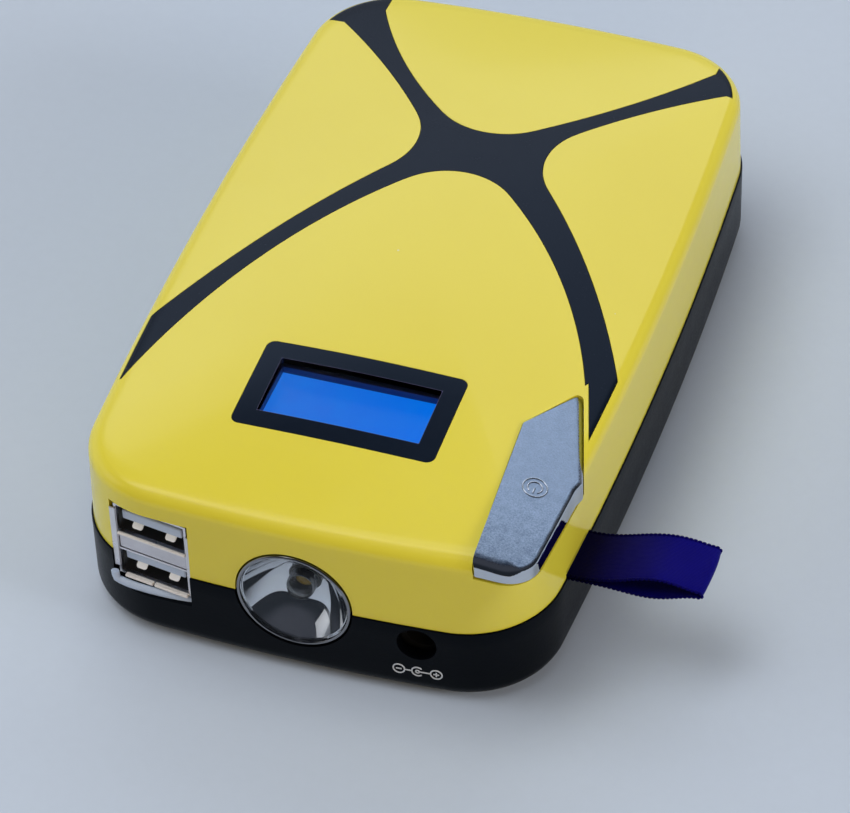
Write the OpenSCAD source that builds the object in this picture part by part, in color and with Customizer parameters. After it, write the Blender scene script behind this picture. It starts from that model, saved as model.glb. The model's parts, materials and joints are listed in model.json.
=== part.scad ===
// Jump starter pack: a lithium battery in a crowned two-part case, with a status
// display, two charging ports, a torch, a charger inlet, a corner power button,
// a ribbon loop and a covered high-current socket.
// Millimetres. The origin is the middle of the underside; the ports face -Y.

/* [Case] */
// Length from the port end to the socket end
body_l = 138; // [136:1:160]
// Width at the middle of the long sides
body_w = 83.4; // [82:0.2:96]
// Height at the middle of the crowned top
body_h = 34.8; // [34:0.2:40]
// Height of the seam between the shells
seam_z = 15.5; // [15.2:0.1:16.5]
// Corner radius in plan
corner_r = 16; // [14:0.5:18]
// Outward bow of each end
end_bow = 2.4; // [1.5:0.1:3.5]
// Outward bow of each long side
side_bow = 2.6; // [1.5:0.1:3]
// Rise of the crown above the shoulder
crown_rise = 3.3; // [2:0.1:4]
// Inward lean of the upper wall, seam to shoulder
upper_draft = 0.3; // [0.1:0.1:0.8]
// Step by which the upper shell stands back at the seam
seam_step = 0.3; // [0.1:0.05:0.6]
// Wall of both shells
wall = 2; // [1.6:0.1:2.2]
// Floor of the lower shell
floor_t = 2.2; // [1.8:0.1:2.4]
// Height of the flat plinth under the case
plinth_h = 0.3; // [0.2:0.1:0.6]
// Radius of the shoulder
shoulder_r = 2.7; // [2:0.1:3.5]
// Radius of the bottom edge
bottom_r = 3.2; // [2:0.1:4]

/* [Inlay and display] */
// Thickness of the cross inlay
inlay_t = 0.9; // [0.6:0.1:1.2]
// Gap round the inlay and the window
inlay_gap = 0.12; // [0.08:0.01:0.2]
// Distance from the port end to the middle of the inlay's cross
cross_from_front = 95; // [92:1:98]
// Width of the display window
lens_w = 34.5; // [33:0.1:36]
// Depth of the display window, front to back
lens_d = 19; // [18:0.1:20]
// Thickness of the display window
lens_t = 1.2; // [1:0.1:1.4]
// Width of the window's dark printed border
border = 3.45; // [3:0.05:4]
// Distance from the port end to the middle of the display
lens_from_front = 29.7; // [29:0.1:31]

/* [Power button] */
// Travel of the power button
button_travel = 0.4; // [0.3:0.05:0.5]
// Thickness of the button's metal cap
button_t = 3; // [2.6:0.1:3.4]
// Gap round the button
button_gap = 0.3; // [0.25:0.05:0.4]
// Radius of the button's stem
stem_r = 1.6; // [1.2:0.1:2]
// Radius of the case's corner under the button
button_corner_r = 6; // [5:0.5:8]

/* [Ports] */
// Width of the twin charging port's metal shell
usb_w = 13.4; // [13.1:0.1:14]
// Height of the twin charging port's metal shell
usb_h = 15.6; // [15.4:0.1:16]
// Distance of the charging port from the middle
usb_x = -24.9; // [-26:0.1:-24]
// Height of the charging port's underside
usb_z = 10.3; // [10.2:0.1:10.8]
// Width of one charging port's mouth
mouth_w = 12.5; // [12.3:0.1:12.6]
// Height of one charging port's mouth
mouth_h = 5.12; // [5:0.02:5.2]
// Outer radius of the torch's reflector
torch_r = 9.7; // [8.5:0.1:10.2]
// Height of the torch's axis
torch_z = 15.9; // [15:0.1:17]
// Distance of the charger inlet from the middle
inlet_x = 20.5; // [20:0.1:22]
// Height of the charger inlet's axis
inlet_z = 11.7; // [11.2:0.1:11.8]
// Radius of the charger inlet's hole in the case
inlet_hole_r = 3.3; // [3:0.1:3.4]
// Radius of the charger inlet's barrel
inlet_bore_r = 2.85; // [2.8:0.05:3]
// Radius of the charger inlet's centre pin
inlet_pin_r = 1.05; // [1:0.05:1.25]
// Length of the charger inlet's centre pin
inlet_pin_l = 8.5; // [7.5:0.5:9]

/* [Jump socket] */
// Width of the jump socket's housing
socket_w = 22; // [21:0.5:24]
// Height of the jump socket's housing
socket_h = 12.5; // [11.5:0.5:14]
// Depth of the jump socket's housing
socket_d = 15; // [13:0.5:16]
// Distance between the two contacts
contact_pitch = 11; // [10:0.5:12]
// Bore radius of each contact tube
contact_bore_r = 2.5; // [2.2:0.1:2.6]
// Wall of each contact tube
contact_wall = 0.5; // [0.4:0.1:0.7]
// Thickness of the socket cover
cover_t = 1.6; // [1.4:0.1:1.8]
// Radius of the cover's hinge pin
hinge_pin_r = 0.6; // [0.5:0.05:0.7]

/* [Ribbon loop] */
// Width of the ribbon
strap_w = 10.5; // [9.5:0.5:12]
// Thickness of the ribbon
strap_t = 0.4; // [0.3:0.05:0.45]
// Length of the loop outside the case
strap_out = 21.5; // [18:0.5:26]
// Distance from the port end to the middle of the ribbon
strap_from_front = 23.8; // [23:0.2:25]

/* [Battery] */
// Room between the cells and the jump socket, where the leads turn
lead_room = 8.5; // [8:0.5:12]
// Room between the cells and the top of the case
head_room = 11.3; // [11.3:0.1:13]
// Thickness of the foam between cells
foam_t = 0.6; // [0.4:0.1:0.6]
// Radius of each battery lead
lead_r = 2; // [1.5:0.1:2.2]

/* [Hidden] */

far = 200;              // longer than anything that is cut
front_y = -body_l / 2;
rear_y = body_l / 2;
n_end = 4;              // steps in half an end
n_corner = 8;           // steps in a corner
n_side = 3;             // steps in half a side
clear = 0.3;            // gap between separate pieces that don't touch
seat = 0.02;            // gap between faces that rest on each other

// ---- outline of the case ----

function arc_r(half, rise) = (half * half + rise * rise) / (2 * rise);
function on_arc(c, r, a) = [c.x + r * cos(a), c.y + r * sin(a)];
function between(a, b, n) = [for (i = [1:n]) a + (b - a) * i / n];
function turned(list) = [for (i = [len(list) - 1:-1:0]) list[i]];
function without_first(list) = [for (i = [1:len(list) - 1]) list[i]];

// One quarter of the plan, from the middle of the port end to the middle of the right side
function quarter(inset, r) = let(
    w = body_w / 2 - inset, h = body_l / 2 - inset,
    end_r = arc_r(w, end_bow), side_r = arc_r(h, side_bow),
    end_c = [0, end_r - h], side_c = [w - side_r, 0],
    gap = side_c - end_c, d = norm(gap),
    a = ((end_r - r) ^ 2 - (side_r - r) ^ 2 + d * d) / (2 * d),
    b = sqrt((end_r - r) ^ 2 - a * a),
    c = end_c + a * gap / d + b * [gap.y, -gap.x] / d,
    mid = c.x > 0 && c.y < 0 ? c : end_c + a * gap / d - b * [gap.y, -gap.x] / d,
    a_end = atan2(mid.y - end_c.y, mid.x - end_c.x),
    a_side = atan2(mid.y - side_c.y, mid.x - side_c.x))
    concat([[0, -h]],
        [for (t = between(-90, a_end, n_end)) on_arc(end_c, end_r, t)],
        [for (t = between(a_end, a_side, n_corner)) on_arc(mid, r, t)],
        [for (t = between(a_side, 0, n_side)) on_arc(side_c, side_r, t)]);

// The whole plan, drawn in by inset; near_r is the corner by the power button
function plan(inset, near_r) = let(
    q = quarter(inset, max(corner_r - inset, 2)),
    near = quarter(inset, max(near_r - inset, 2)),
    n = len(q))
    concat(near,
        [for (i = [n - 2:-1:0]) [q[i].x, -q[i].y]],
        [for (i = [1:n - 1]) [-q[i].x, -q[i].y]],
        [for (i = [n - 2:-1:1]) [-q[i].x, q[i].y]]);

// The plan at height z, shrunk to s of its size; on its way to the middle it turns into an ellipse
function ring(inset, z, near_r = corner_r, s = 1) = [for (p = plan(inset, near_r)) let(
    to_ellipse = 1 / norm([p.x / (body_w / 2 - inset), p.y / (body_l / 2 - inset)]),
    k = s * (1 + (to_ellipse - 1) * (1 - s * s))) [p.x * k, p.y * k, z]];

// A solid through a stack of rings that all have the same number of points
module loft(rings) {
    n = len(rings[0]);
    top = len(rings) - 1;
    polyhedron(
        points = [for (r = rings) each r],
        faces = concat(
            [[for (i = [0:n - 1]) i]],
            [[for (i = [n - 1:-1:0]) top * n + i]],
            [for (k = [0:top - 1], i = [0:n - 1]) let(j = (i + 1) % n)
                each [[k * n + i, (k + 1) * n + i, (k + 1) * n + j],
                      [k * n + i, (k + 1) * n + j, k * n + j]]]),
        convexity = 6);
}

shoulder_z = body_h - crown_rise - shoulder_r;  // where the upper wall ends
shoulder_in = upper_draft + seam_step;          // how far in the wall is there
top_in = shoulder_in + shoulder_r * 0.95;       // where the crown begins
function crown_z(s) = body_h - crown_rise * s * s;

// The upper shell's outer form, drawn in by t all round and on top
module upper_form(t = 0, z0 = seam_z) {
    loft(concat(
        [ring(seam_step + t, z0, corner_r),
         ring(shoulder_in + t, shoulder_z - t * 0.4, button_corner_r)],
        [for (a = [20:20:80]) ring(shoulder_in + t + shoulder_r * (1 - cos(a)),
            shoulder_z - t + shoulder_r * sin(a) + (t * 0.6) * (1 - a / 80), button_corner_r)],
        [for (s = [0.97, 0.9, 0.75, 0.55, 0.3, 0.03])
            ring(top_in + t, crown_z(s) - t, button_corner_r, s)]));
}

// The lower shell's outer form above its plinth, drawn in by t all round and below
module lower_form(t = 0, z1 = seam_z) {
    r = max(bottom_r - t, 1);
    loft(concat(
        [for (a = [0:22.5:90]) ring(t + r * (1 - sin(a)) + 0.2 * (1 - a / 90),
            plinth_h + t + r * (1 - cos(a)))],
        [ring(t, z1)]));
}

// ---- the cross ----

// Points on an arc from p to q that bulges by rise to the right of the way, or to the left if below 0
function bulge(p, q, rise, n = 10) = let(
    half = norm(q - p) / 2, u = (q - p) / (2 * half), v = [u.y, -u.x] * sign(rise),
    r = arc_r(half, abs(rise)), c = (p + q) / 2 - v * (r - abs(rise)),
    a0 = atan2(p.y - c.y, p.x - c.x), turn = 2 * asin(half / r) * sign(rise))
    [for (i = [0:n]) on_arc(c, r, a0 + turn * i / n)];

cross_y = front_y + cross_from_front;
side_x = body_w / 2;
front_tip = [0, cross_y - 2.6];
rear_tip = [1.2, cross_y + 2.2];
// Ends of the right arms, then of the left ones as if they were on the right:
// each edge's end, and how far the edge bulges on its way to the tip
arm_low = [[side_x - 2.1, cross_y - 69, 7.8], [side_x - 3.4, cross_y - 69.2, 5.9]];
arm_high = [[side_x - 0.7, cross_y - 50, 2.8], [side_x - 2.1, cross_y - 54, 1.9]];
side_tip = [[8.65, cross_y + 0.7], [7.25, cross_y - 1.2]];
rear_side = [[side_x - 5, cross_y + 29, -1.4], [side_x - 7.2, cross_y + 29.8, -1.4]];
rear_end = [[33.3, cross_y + 34.5, 1.7], [28.4, cross_y + 35, 2.7]];
tip_r = 12.5;

function flat(p) = [p.x, p.y];
function mirrored(list) = [for (p = turned(list)) [-p.x, p.y]];

module front_panel() {
    polygon(concat([[far, -far], [far, arm_low[0].y - 18]],
        bulge(flat(arm_low[0]), front_tip, arm_low[0].z),
        mirrored(bulge(flat(arm_low[1]), front_tip, arm_low[1].z)),
        [[-far, arm_low[1].y - 18], [-far, -far]]));
}

module rear_panel() {
    polygon(concat(bulge(rear_tip, flat(rear_end[0]), rear_end[0].z),
        [[rear_end[0].x, far], [-rear_end[1].x, far]],
        mirrored(bulge([-rear_tip.x, rear_tip.y], flat(rear_end[1]), rear_end[1].z))));
}

// The panel beside the cross: m is 0 on the right, 1 on the left
module side_panel(m) {
    mirror([m, 0]) polygon(concat(bulge(flat(arm_high[m]), side_tip[m], arm_high[m].z),
        bulge(side_tip[m], flat(rear_side[m]), rear_side[m].z),
        [[far, rear_side[m].y + 10], [far, arm_high[m].y - 20]]));
}

// The cross in plan: what the four rounded panels leave, drawn in by gap
module cross_plan(gap = 0) {
    difference() {
        polygon(plan(top_in - 1.2 + gap, button_corner_r));
        offset(r = gap) {
            offset(r = tip_r) offset(delta = -tip_r) front_panel();
            offset(r = tip_r) offset(delta = -tip_r) rear_panel();
            for (m = [0, 1]) offset(r = tip_r) offset(delta = -tip_r) side_panel(m);
            offset(delta = button_gap + 0.6) polygon(button_plan());
        }
    }
}

// ---- the power button ----

button_left = side_x - 11.9;                   // the button's inner long edge
button_rear = [button_left - 1.5, front_y + 33.2];
button_tip = [side_x - 6.7, front_y + 43.8];
button_turn = [side_x - 1.1, front_y + 25.5];  // where the edge comes back to the case's side
stem_at = [side_x - 7.5, front_y + 19.5];

// Outline of the button: the case's own edge on its outer side
function button_plan() = concat([[button_left, front_y + 1.65]],
    [for (p = plan(shoulder_in - 0.1, button_corner_r))
        if (p.x > button_left && p.y < button_turn.y - 1) p],
    [button_turn, button_tip, button_rear]);

// The button's top is a plane that falls towards the case's side
function button_z(p) = body_h - 2.5 - 0.22 * (p.x - button_left) + 0.01 * (p.y - front_y);
// Its underside falls more slowly to the side and sinks towards the rear
function button_under(p) = body_h - 2.7 - button_t - 0.126 * (p.x - button_left) - 0.048 * (p.y - front_y);
function inward(list, d) = let(n = len(list)) [for (i = [0:n - 1]) let(
    a = list[(i + n - 1) % n], b = list[i], c = list[(i + 1) % n],
    u = (b - a) / norm(b - a), v = (c - b) / norm(c - b),
    m = [-u.y - v.y, u.x + v.x], k = max(m * m / 2, 0.3)) b + m * d / k];
function lifted(list, drop) = [for (p = list) [p.x, p.y, button_z(p) - drop]];
function sunk(list, drop) = [for (p = list) [p.x, p.y, button_under(p) - drop]];

module power_button() {
    edge = button_plan();
    color("silver") {
        loft([sunk(inward(edge, 0.25), 0), sunk(edge, -0.3),
            lifted(edge, 0.8), lifted(inward(edge, 0.25), 0.2), lifted(inward(edge, 0.8), 0)]);
        translate([stem_at.x, stem_at.y, plunger_top + 0.1])
            cylinder(r = stem_r, h = button_under(stem_at) + 1 - plunger_top - 0.1, $fn = 32);
    }
}

// The space that the upper shell leaves for the button; its floor is parallel to the cap's underside
notch_drop = button_travel + 0.35;
notch_floor = 1.2;
module button_notch() {
    edge = inward(button_plan(), -button_gap);
    loft([sunk(edge, notch_drop), [for (p = edge) [p.x, p.y, body_h + 5]]]);
}

// ---- what the button works ----

bar_r = 1.2;            // radius of the bar that holds the ribbon
switch_size = 6;
switch_h = 2.6;
board_t = 1.6;
small_board_t = 1.2;
button_board_top = seam_z + bar_r + strap_t + 0.1 + clear + small_board_t;
plunger_r = 1.7;
plunger_top = button_board_top + switch_h + 1.6;
post_at = [[-5.2, -5.4], [-5.2, 5.4]];

module switch_plunger() {
    color("black") translate([stem_at.x, stem_at.y, button_board_top + switch_h - 1.4]) {
        cylinder(r = plunger_r, h = plunger_top - button_board_top - switch_h + 1.4, $fn = 32);
        cylinder(r = plunger_r + 0.5, h = 0.5, $fn = 32);
    }
}

module button_switch() {
    color("dimgray") difference() {
        translate([stem_at.x - switch_size / 2, stem_at.y - switch_size / 2, button_board_top + seat])
            cube([switch_size, switch_size, switch_h - seat]);
        translate([stem_at.x, stem_at.y, button_board_top + switch_h - 2])
            cylinder(r = plunger_r + 0.8, h = 1.5, $fn = 32);
        translate([stem_at.x, stem_at.y, button_board_top + switch_h - 1])
            cylinder(r = plunger_r + 0.25, h = 2, $fn = 32);
    }
}

module button_board() {
    color("darkgreen")
        translate([stem_at.x - 6.8, stem_at.y - 7, button_board_top - small_board_t])
            cube([9.4, 14, small_board_t]);
}

module button_posts() {
    for (p = post_at) translate([stem_at.x + p.x, stem_at.y + p.y, button_board_top + seat])
        cylinder(r = 1.3, h = body_h, $fn = 24);
}

// ---- the display ----

lens_y = front_y + lens_from_front;
lens_z = crown_z(0.62) - lens_t;     // about where the window's underside lies
ledge = 1.9;                         // width of the step that carries the window
view_w = lens_w - 2 * border;
view_d = lens_d - 2 * border;
panel_top = lens_z - 2;
panel_t = 1.6;
light_t = 2.4;
lcd_board_top = panel_top - panel_t - light_t;

module rounded(w, d, r) {
    offset(r = r, $fn = 32) square([w - 2 * r, d - 2 * r], center = true);
}

module lcd_lens() {
    color("midnightblue", 0.6) difference() {
        intersection() {
            upper_form();
            translate([0, lens_y, body_h - 6]) linear_extrude(10) rounded(lens_w, lens_d, 1.6);
        }
        upper_form(lens_t - seat);
    }
}

module lcd_bezel() {
    w = lens_w - 2 * ledge - 2 * clear;
    d = lens_d - 2 * ledge - 2 * clear;
    color("black") translate([0, lens_y, panel_top + seat]) difference() {
        translate([-w / 2, -d / 2, 0]) cube([w, d, lens_z - panel_top - 0.7]);
        translate([-view_w / 2, -view_d / 2, -1]) cube([view_w, view_d, 5]);
    }
}

// A flat plate of thickness t under the window, with its top at z, wider than the clear view by more
module under_view(more, t, z) {
    w = view_w + more;
    d = view_d + more;
    translate([-w / 2, lens_y - d / 2, z - t]) cube([w, d, t]);
}

module lcd_panel() {
    color("dodgerblue") under_view(4.2, panel_t, panel_top);
}

module lcd_backlight() {
    color("white") under_view(4.8, light_t - 2 * seat, panel_top - panel_t - seat);
}

lcd_board_more = 7.2;      // how much longer and wider the display's board is than the window
module lcd_board() {
    color("darkgreen") translate([-(lens_w + lcd_board_more) / 2, lens_y - lens_d / 2 + 0.5,
        lcd_board_top - small_board_t]) cube([lens_w + lcd_board_more, lens_d + 1, small_board_t]);
}

module lcd_posts() {
    x = lens_w / 2 + 1.8;
    for (x = [-x, x], y = [-7, 9]) translate([x, lens_y + y, lcd_board_top + seat])
        cylinder(r = 1.5, h = body_h, $fn = 24);
}

// ---- case screws ----

screw_x = side_x - 7.7;
screw_at = [for (x = [-screw_x, screw_x], y = [front_y + 36, rear_y - 18]) [x, y]];
boss_r = 3;
head_r = 2.6;
head_h = 1.8;
shank_r = 1.3;
well_z = 5;            // top of the screw's well
boss_top = 9;

module case_screws() {
    color("dimgray") for (p = screw_at) translate([p.x, p.y, well_z - head_h - 0.05]) {
        difference() {
            cylinder(r = head_r, h = head_h, $fn = 32);
            for (a = [0, 90]) rotate(a) translate([-1.4, -0.3, -1]) cube([2.8, 0.6, 1.9]);
        }
        cylinder(r = shank_r, h = 14, $fn = 32);
    }
}

// ---- the lower shell ----

strap_y = front_y + strap_from_front;
bar_x = side_x - 6.3;
bar_l = strap_w + 4;
rib_t = 1.6;
lip_t = 1;
lip_h = 1.4;

lip_in = wall + seam_step + 0.15;      // the lip stands just inside the upper shell's wall
module wall_band(outer, z0, z1) {
    difference() {
        translate([0, 0, z0]) linear_extrude(z1 - z0) polygon(plan(outer, corner_r));
        translate([0, 0, z0 - 1]) linear_extrude(z1 - z0 + 2) polygon(plan(lip_in + lip_t, corner_r));
    }
}

// The charging port is turned a little, square to the bowed end of the case
usb_y = front_y + 2.1;
usb_turn = -5;
module at_usb() {
    translate([usb_x + usb_w / 2, usb_y, 0]) rotate(usb_turn) translate([-usb_w / 2, 0, 0]) children();
}

// Mouths of the ports, cut through both shells at the port end; the charging port's has a sloping sill
lip_slope = 0.6;
module port_cuts() {
    at_usb() translate([-usb_w / 2 - clear, front_y - usb_y, usb_z]) rotate([90, 0, 90])
        linear_extrude(usb_w + 2 * clear) polygon([[-5, -1.5 - 5 * lip_slope], [-5, usb_h + 2 * clear],
            [9, usb_h + 2 * clear], [9, -0.25], [1.25 / lip_slope, -0.25]]);
    translate([0, front_y + 9, torch_z]) rotate([90, 0, 0]) cylinder(r = torch_r + 0.25, h = 20, $fn = 96);
    translate([inlet_x, front_y + 6, inlet_z]) rotate([90, 0, 0])
        cylinder(r = inlet_hole_r, h = 12, $fn = 64);
}

recess_y = rear_y - 2.35;      // floor of the cover's recess
socket_z = 15;
cover_w = 32;
cover_h = 19;
knuckle_r = 1.25;
pin_y = rear_y - 1.75;
pin_x = -cover_w / 2 + 0.6;

module rear_cuts() {
    translate([-cover_w / 2 - 1.3, recess_y, socket_z - cover_h / 2 - clear])
        cube([cover_w + 1.6, 10, cover_h + 2 * clear]);
    translate([-socket_w / 2 - 0.25, recess_y - 10, socket_z - socket_h / 2 - 0.25])
        cube([socket_w + 0.5, 12, socket_h + 0.5]);
    translate([pin_x, pin_y, socket_z - cover_h / 2 - clear])
        cylinder(r = knuckle_r + clear, h = cover_h + 2 * clear, $fn = 48);
    translate([pin_x, pin_y, socket_z - cover_h / 2 - 2.5])
        cylinder(r = hinge_pin_r + seat, h = cover_h + 5, $fn = 32);
}

// The ribbon's way through the seam, with room for its turn round the bar
module strap_slot() {
    room = bar_r + strap_t + clear;
    translate([bar_x + 1, strap_y - strap_w / 2 - clear, seam_z - strap_t - clear])
        cube([20, strap_w + 2 * clear, 2 * (strap_t + clear)]);
    translate([bar_x - room, strap_y - strap_w / 2 - clear, seam_z - room])
        cube([2 * room + 0.6, strap_w + 2 * clear, 2 * room]);
}

// A pair of ribs, x1 wide from the middle of the bar, that hold its ends
module bar_holder(z0, h, x1) {
    for (s = [-1, 1]) difference() {
        translate([bar_x - 2.6, strap_y + s * (strap_w / 2 + 1.1) - rib_t / 2, z0])
            cube([2.6 + x1, rib_t, h]);
        translate([bar_x, strap_y + strap_w, seam_z]) rotate([90, 0, 0])
            cylinder(r = bar_r + seat, h = 2 * strap_w, $fn = 32);
    }
}

main_top = usb_z - 0.1;
main_w = body_w - 18.4;      // width of the main board
hole_x = main_w / 2 - 3.5;
board_holes = [[(usb_x + usb_w / 2 - torch_r - 1.2) / 2, front_y + 11], [hole_x, front_y + 18.5],
    [-hole_x, front_y + 26], [hole_x, front_y + 26]];
protect_y = front_y + 31;

module lower_shell() {
    inner = floor_t + plinth_h;
    color([0.06, 0.07, 0.09]) difference() {
        union() {
            difference() {
                union() {
                    lower_form();
                    linear_extrude(plinth_h + 1) polygon(plan(bottom_r + 1.4, corner_r));
                }
                lower_form(wall, seam_z + 1);
            }
            difference() {
                union() {
                    wall_band(wall - 0.2, seam_z - 3, seam_z);
                    wall_band(lip_in, seam_z - 1, seam_z + lip_h);
                }
                translate([bar_x - 4, strap_y - strap_w / 2 - 3.5, seam_z])
                    cube([20, strap_w + 7, 8]);
                translate([-cover_w / 2 - 3, rear_y - 8, seam_z]) cube([cover_w + 5, 20, 8]);
                translate([usb_x - usb_w / 2 - 2, front_y, seam_z - 4]) cube([usb_w + 4, 9, 10]);
                translate([-torch_r - 1, front_y, seam_z - 4]) cube([2 * torch_r + 2, 9, 10]);
                translate([inlet_x - 6, front_y, seam_z - 4]) cube([12, 9, 10]);
                for (p = screw_at) translate([p.x, p.y, seam_z - 4])
                    cylinder(r = boss_r + 0.4, h = 8, $fn = 32);
            }
            for (p = screw_at) translate([p.x, p.y, inner - 0.5])
                cylinder(r = boss_r + 1, h = boss_top - inner + 0.5, $fn = 32);
            for (p = board_holes) translate([p.x, p.y, inner - 0.5])
                cylinder(r = 2.4, h = main_top - board_t - inner + 0.5 - seat, $fn = 32);
            bar_holder(inner - 0.5, seam_z - inner + 0.4, 2.6);
            for (s = [-1, 1]) translate([s * (cell_w / 2 + 1), cell_front, inner - 0.5])
                translate([-0.7, 0, 0]) cube([1.4, cell_l, 8]);
            for (x = [-22, 22], y = [-1.9, board_t + 0.3]) translate([x - 3, protect_y + y, inner - 0.5])
                cube([6, 0.8, 3.5]);
            translate([-socket_w / 2 + 2, socket_y + 2, inner - 0.5])
                cube([socket_w - 4, 9, socket_z - socket_h / 2 - inner + 0.5 - seat]);
        }
        port_cuts();
        rear_cuts();
        strap_slot();
        for (p = screw_at) translate([p.x, p.y, -1]) {
            cylinder(r = head_r + 0.3, h = well_z + 1, $fn = 32);
            cylinder(r = shank_r + 0.2, h = 30, $fn = 32);
        }
        for (p = board_holes) translate([p.x, p.y, inner + 1]) cylinder(r = 0.85, h = 20, $fn = 24);
    }
}

// ---- the upper shell ----

module upper_shell() {
    color([0.92, 0.8, 0.08]) difference() {
        union() {
            difference() {
                upper_form();
                upper_form(wall, seam_z - 1);
            }
            intersection() {
                upper_form(0.5);
                union() {
                    button_posts();
                    lcd_posts();
                    for (p = screw_at) translate([p.x, p.y, boss_top + seat])
                        cylinder(r = boss_r, h = 30, $fn = 32);
                    loft([sunk(inward(button_plan(), -wall), notch_drop + notch_floor),
                        [for (p = inward(button_plan(), -wall)) [p.x, p.y, body_h + 5]]]);
                    for (y = [-14, 10, 34]) translate([-20, y, stack_top + clear]) cube([40, rib_t, 20]);
                    bar_holder(seam_z + 0.1, bar_r + 0.6, side_x - 2.2 - bar_x);
                    translate([-socket_w / 2 + 3, socket_y + 3, socket_z + socket_h / 2 + seat])
                        cube([socket_w - 6, 6, 20]);
                }
            }
        }
        difference() {
            translate([0, 0, shoulder_z - 2]) linear_extrude(20) cross_plan();
            upper_form(inlay_t);
        }
        button_notch();
        translate([stem_at.x, stem_at.y, 20]) cylinder(r = stem_r + 0.35, h = 20, $fn = 32);
        difference() {
            translate([0, lens_y, body_h - 6]) linear_extrude(10)
                rounded(lens_w + 2 * inlay_gap, lens_d + 2 * inlay_gap, 1.6);
            upper_form(lens_t);
        }
        translate([-lens_w / 2 + ledge, lens_y - lens_d / 2 + ledge, 20])
            cube([lens_w - 2 * ledge, lens_d - 2 * ledge, 20]);
        port_cuts();
        rear_cuts();
        strap_slot();
        for (p = screw_at) translate([p.x, p.y, 0]) cylinder(r = shank_r + 0.02, h = 19, $fn = 32);
    }
}

module x_inlay() {
    color("black") difference() {
        intersection() {
            upper_form();
            translate([0, 0, shoulder_z - 2]) linear_extrude(20) cross_plan(inlay_gap);
        }
        upper_form(inlay_t - seat);
    }
}

// ---- boards at the port end ----

module main_board() {
    z = main_top - board_t;
    color("darkgreen") difference() {
        translate([-main_w / 2, front_y + 7, z]) cube([main_w, 23, board_t]);
        translate([-torch_r - 1.2, front_y, z - 1]) cube([2 * torch_r + 2.4, 17.5, 5]);
        translate([inlet_x - 4.9, front_y, z - 1]) cube([9.8, 16.6, 5]);
        for (p = board_holes) translate([p.x, p.y, z - 1]) cylinder(r = 1.2, h = 5, $fn = 24);
    }
}

module board_screws() {
    color("silver") for (p = board_holes) translate([p.x, p.y, main_top + seat]) {
        cylinder(r = 1.9, h = 1.2, $fn = 24);
        translate([0, 0, -4]) cylinder(r = 0.8, h = 4, $fn = 24);
    }
}

module board_parts() {
    z = main_top + seat;
    color("dimgray") {
        for (x = [-0.19, -0.07, 0.05]) translate([main_w * x, front_y + 24, z])
            cylinder(r = 3.4, h = 5, $fn = 32);
        translate([main_w * 0.135, front_y + 20.5, z]) cube([7, 7, 1]);
        translate([main_w * 0.29, front_y + 21, z]) cube([5, 6, 1.4]);
        translate([-hole_x + 6, front_y + 24, z]) cylinder(r = 3, h = 9, $fn = 32);
    }
}

// ---- twin charging port ----

usb_d = 17.5;
sheet = 0.35;
gap_between = usb_h - 2 * mouth_h - 2 * sheet;
mouth_z = [usb_z + sheet, usb_z + sheet + mouth_h + gap_between];

module usb_shell() {
    color("silver") at_usb() {
        difference() {
            translate([-usb_w / 2, 0, usb_z]) cube([usb_w, usb_d, usb_h]);
            for (z = mouth_z) translate([-mouth_w / 2, -1, z]) cube([mouth_w, usb_d, mouth_h]);
            translate([-mouth_w / 2, 0.5, mouth_z[0] + mouth_h + sheet])
                cube([mouth_w, usb_d, gap_between - 2 * sheet]);
        }
        for (z = mouth_z, x = [-3.1, 3.1]) translate([x - 0.75, 1, z]) rotate([90, 0, 90])
            linear_extrude(1.5) polygon([[0, -0.1], [2.4, 0.7], [3.6, 0.7], [9, -0.1]]);
    }
}

tongue_t = 1.84;
tongue_drop = 0.75;
module usb_core() {
    color("ivory") at_usb() {
        for (z = mouth_z) {
            translate([-5.55, 0.8, z + mouth_h - tongue_drop - tongue_t])
                cube([11.1, usb_d - 2.5, tongue_t]);
            translate([-mouth_w / 2 + 0.05, usb_d - 3.5, z + 0.05])
                cube([mouth_w - 0.1, 2.4, mouth_h - 0.1]);
        }
        translate([-mouth_w / 2 + 0.05, 0.6, mouth_z[0] + mouth_h + sheet + 0.05])
            cube([mouth_w - 0.1, usb_d - 1, gap_between - 2 * sheet - 0.1]);
    }
}

module usb_contacts() {
    color("gold") at_usb() for (z = mouth_z, i = [0:3])
        translate([-3.5 + i * (i == 1 || i == 2 ? 2.25 : 7 / 3) - 0.5, 2,
            z + mouth_h - tongue_drop - tongue_t - 0.16])
            cube([1, 9, 0.15]);
}

// ---- torch ----

bowl_d = 6;
led_r = 2.5;
module at_torch() { translate([0, front_y + 0.15, torch_z]) rotate([-90, 0, 0]) children(); }
function bowl_r(d) = led_r + 0.3 + (torch_r - 1.2 - led_r - 0.3) * sqrt(max(1 - d / bowl_d, 0));

module torch_reflector() {
    color("gainsboro") at_torch() rotate_extrude($fn = 96) polygon(concat(
        [for (i = [0:14]) let(d = 0.9 + (bowl_d - 0.9) * i / 14) [bowl_r(d), d]],
        [[led_r + 1.4, bowl_d]],
        [for (i = [12:-1:5]) let(d = bowl_d * i / 14) [bowl_r(d) + 0.9, d]],
        [[torch_r, 1.6], [torch_r, 0], [torch_r - 0.6, 0], [torch_r - 0.6, 0.9]]));
}

module torch_lens() {
    color("white", 0.35) at_torch() translate([0, 0, 0.15])
        cylinder(r = torch_r - 0.65, h = 0.73, $fn = 96);
}

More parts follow.
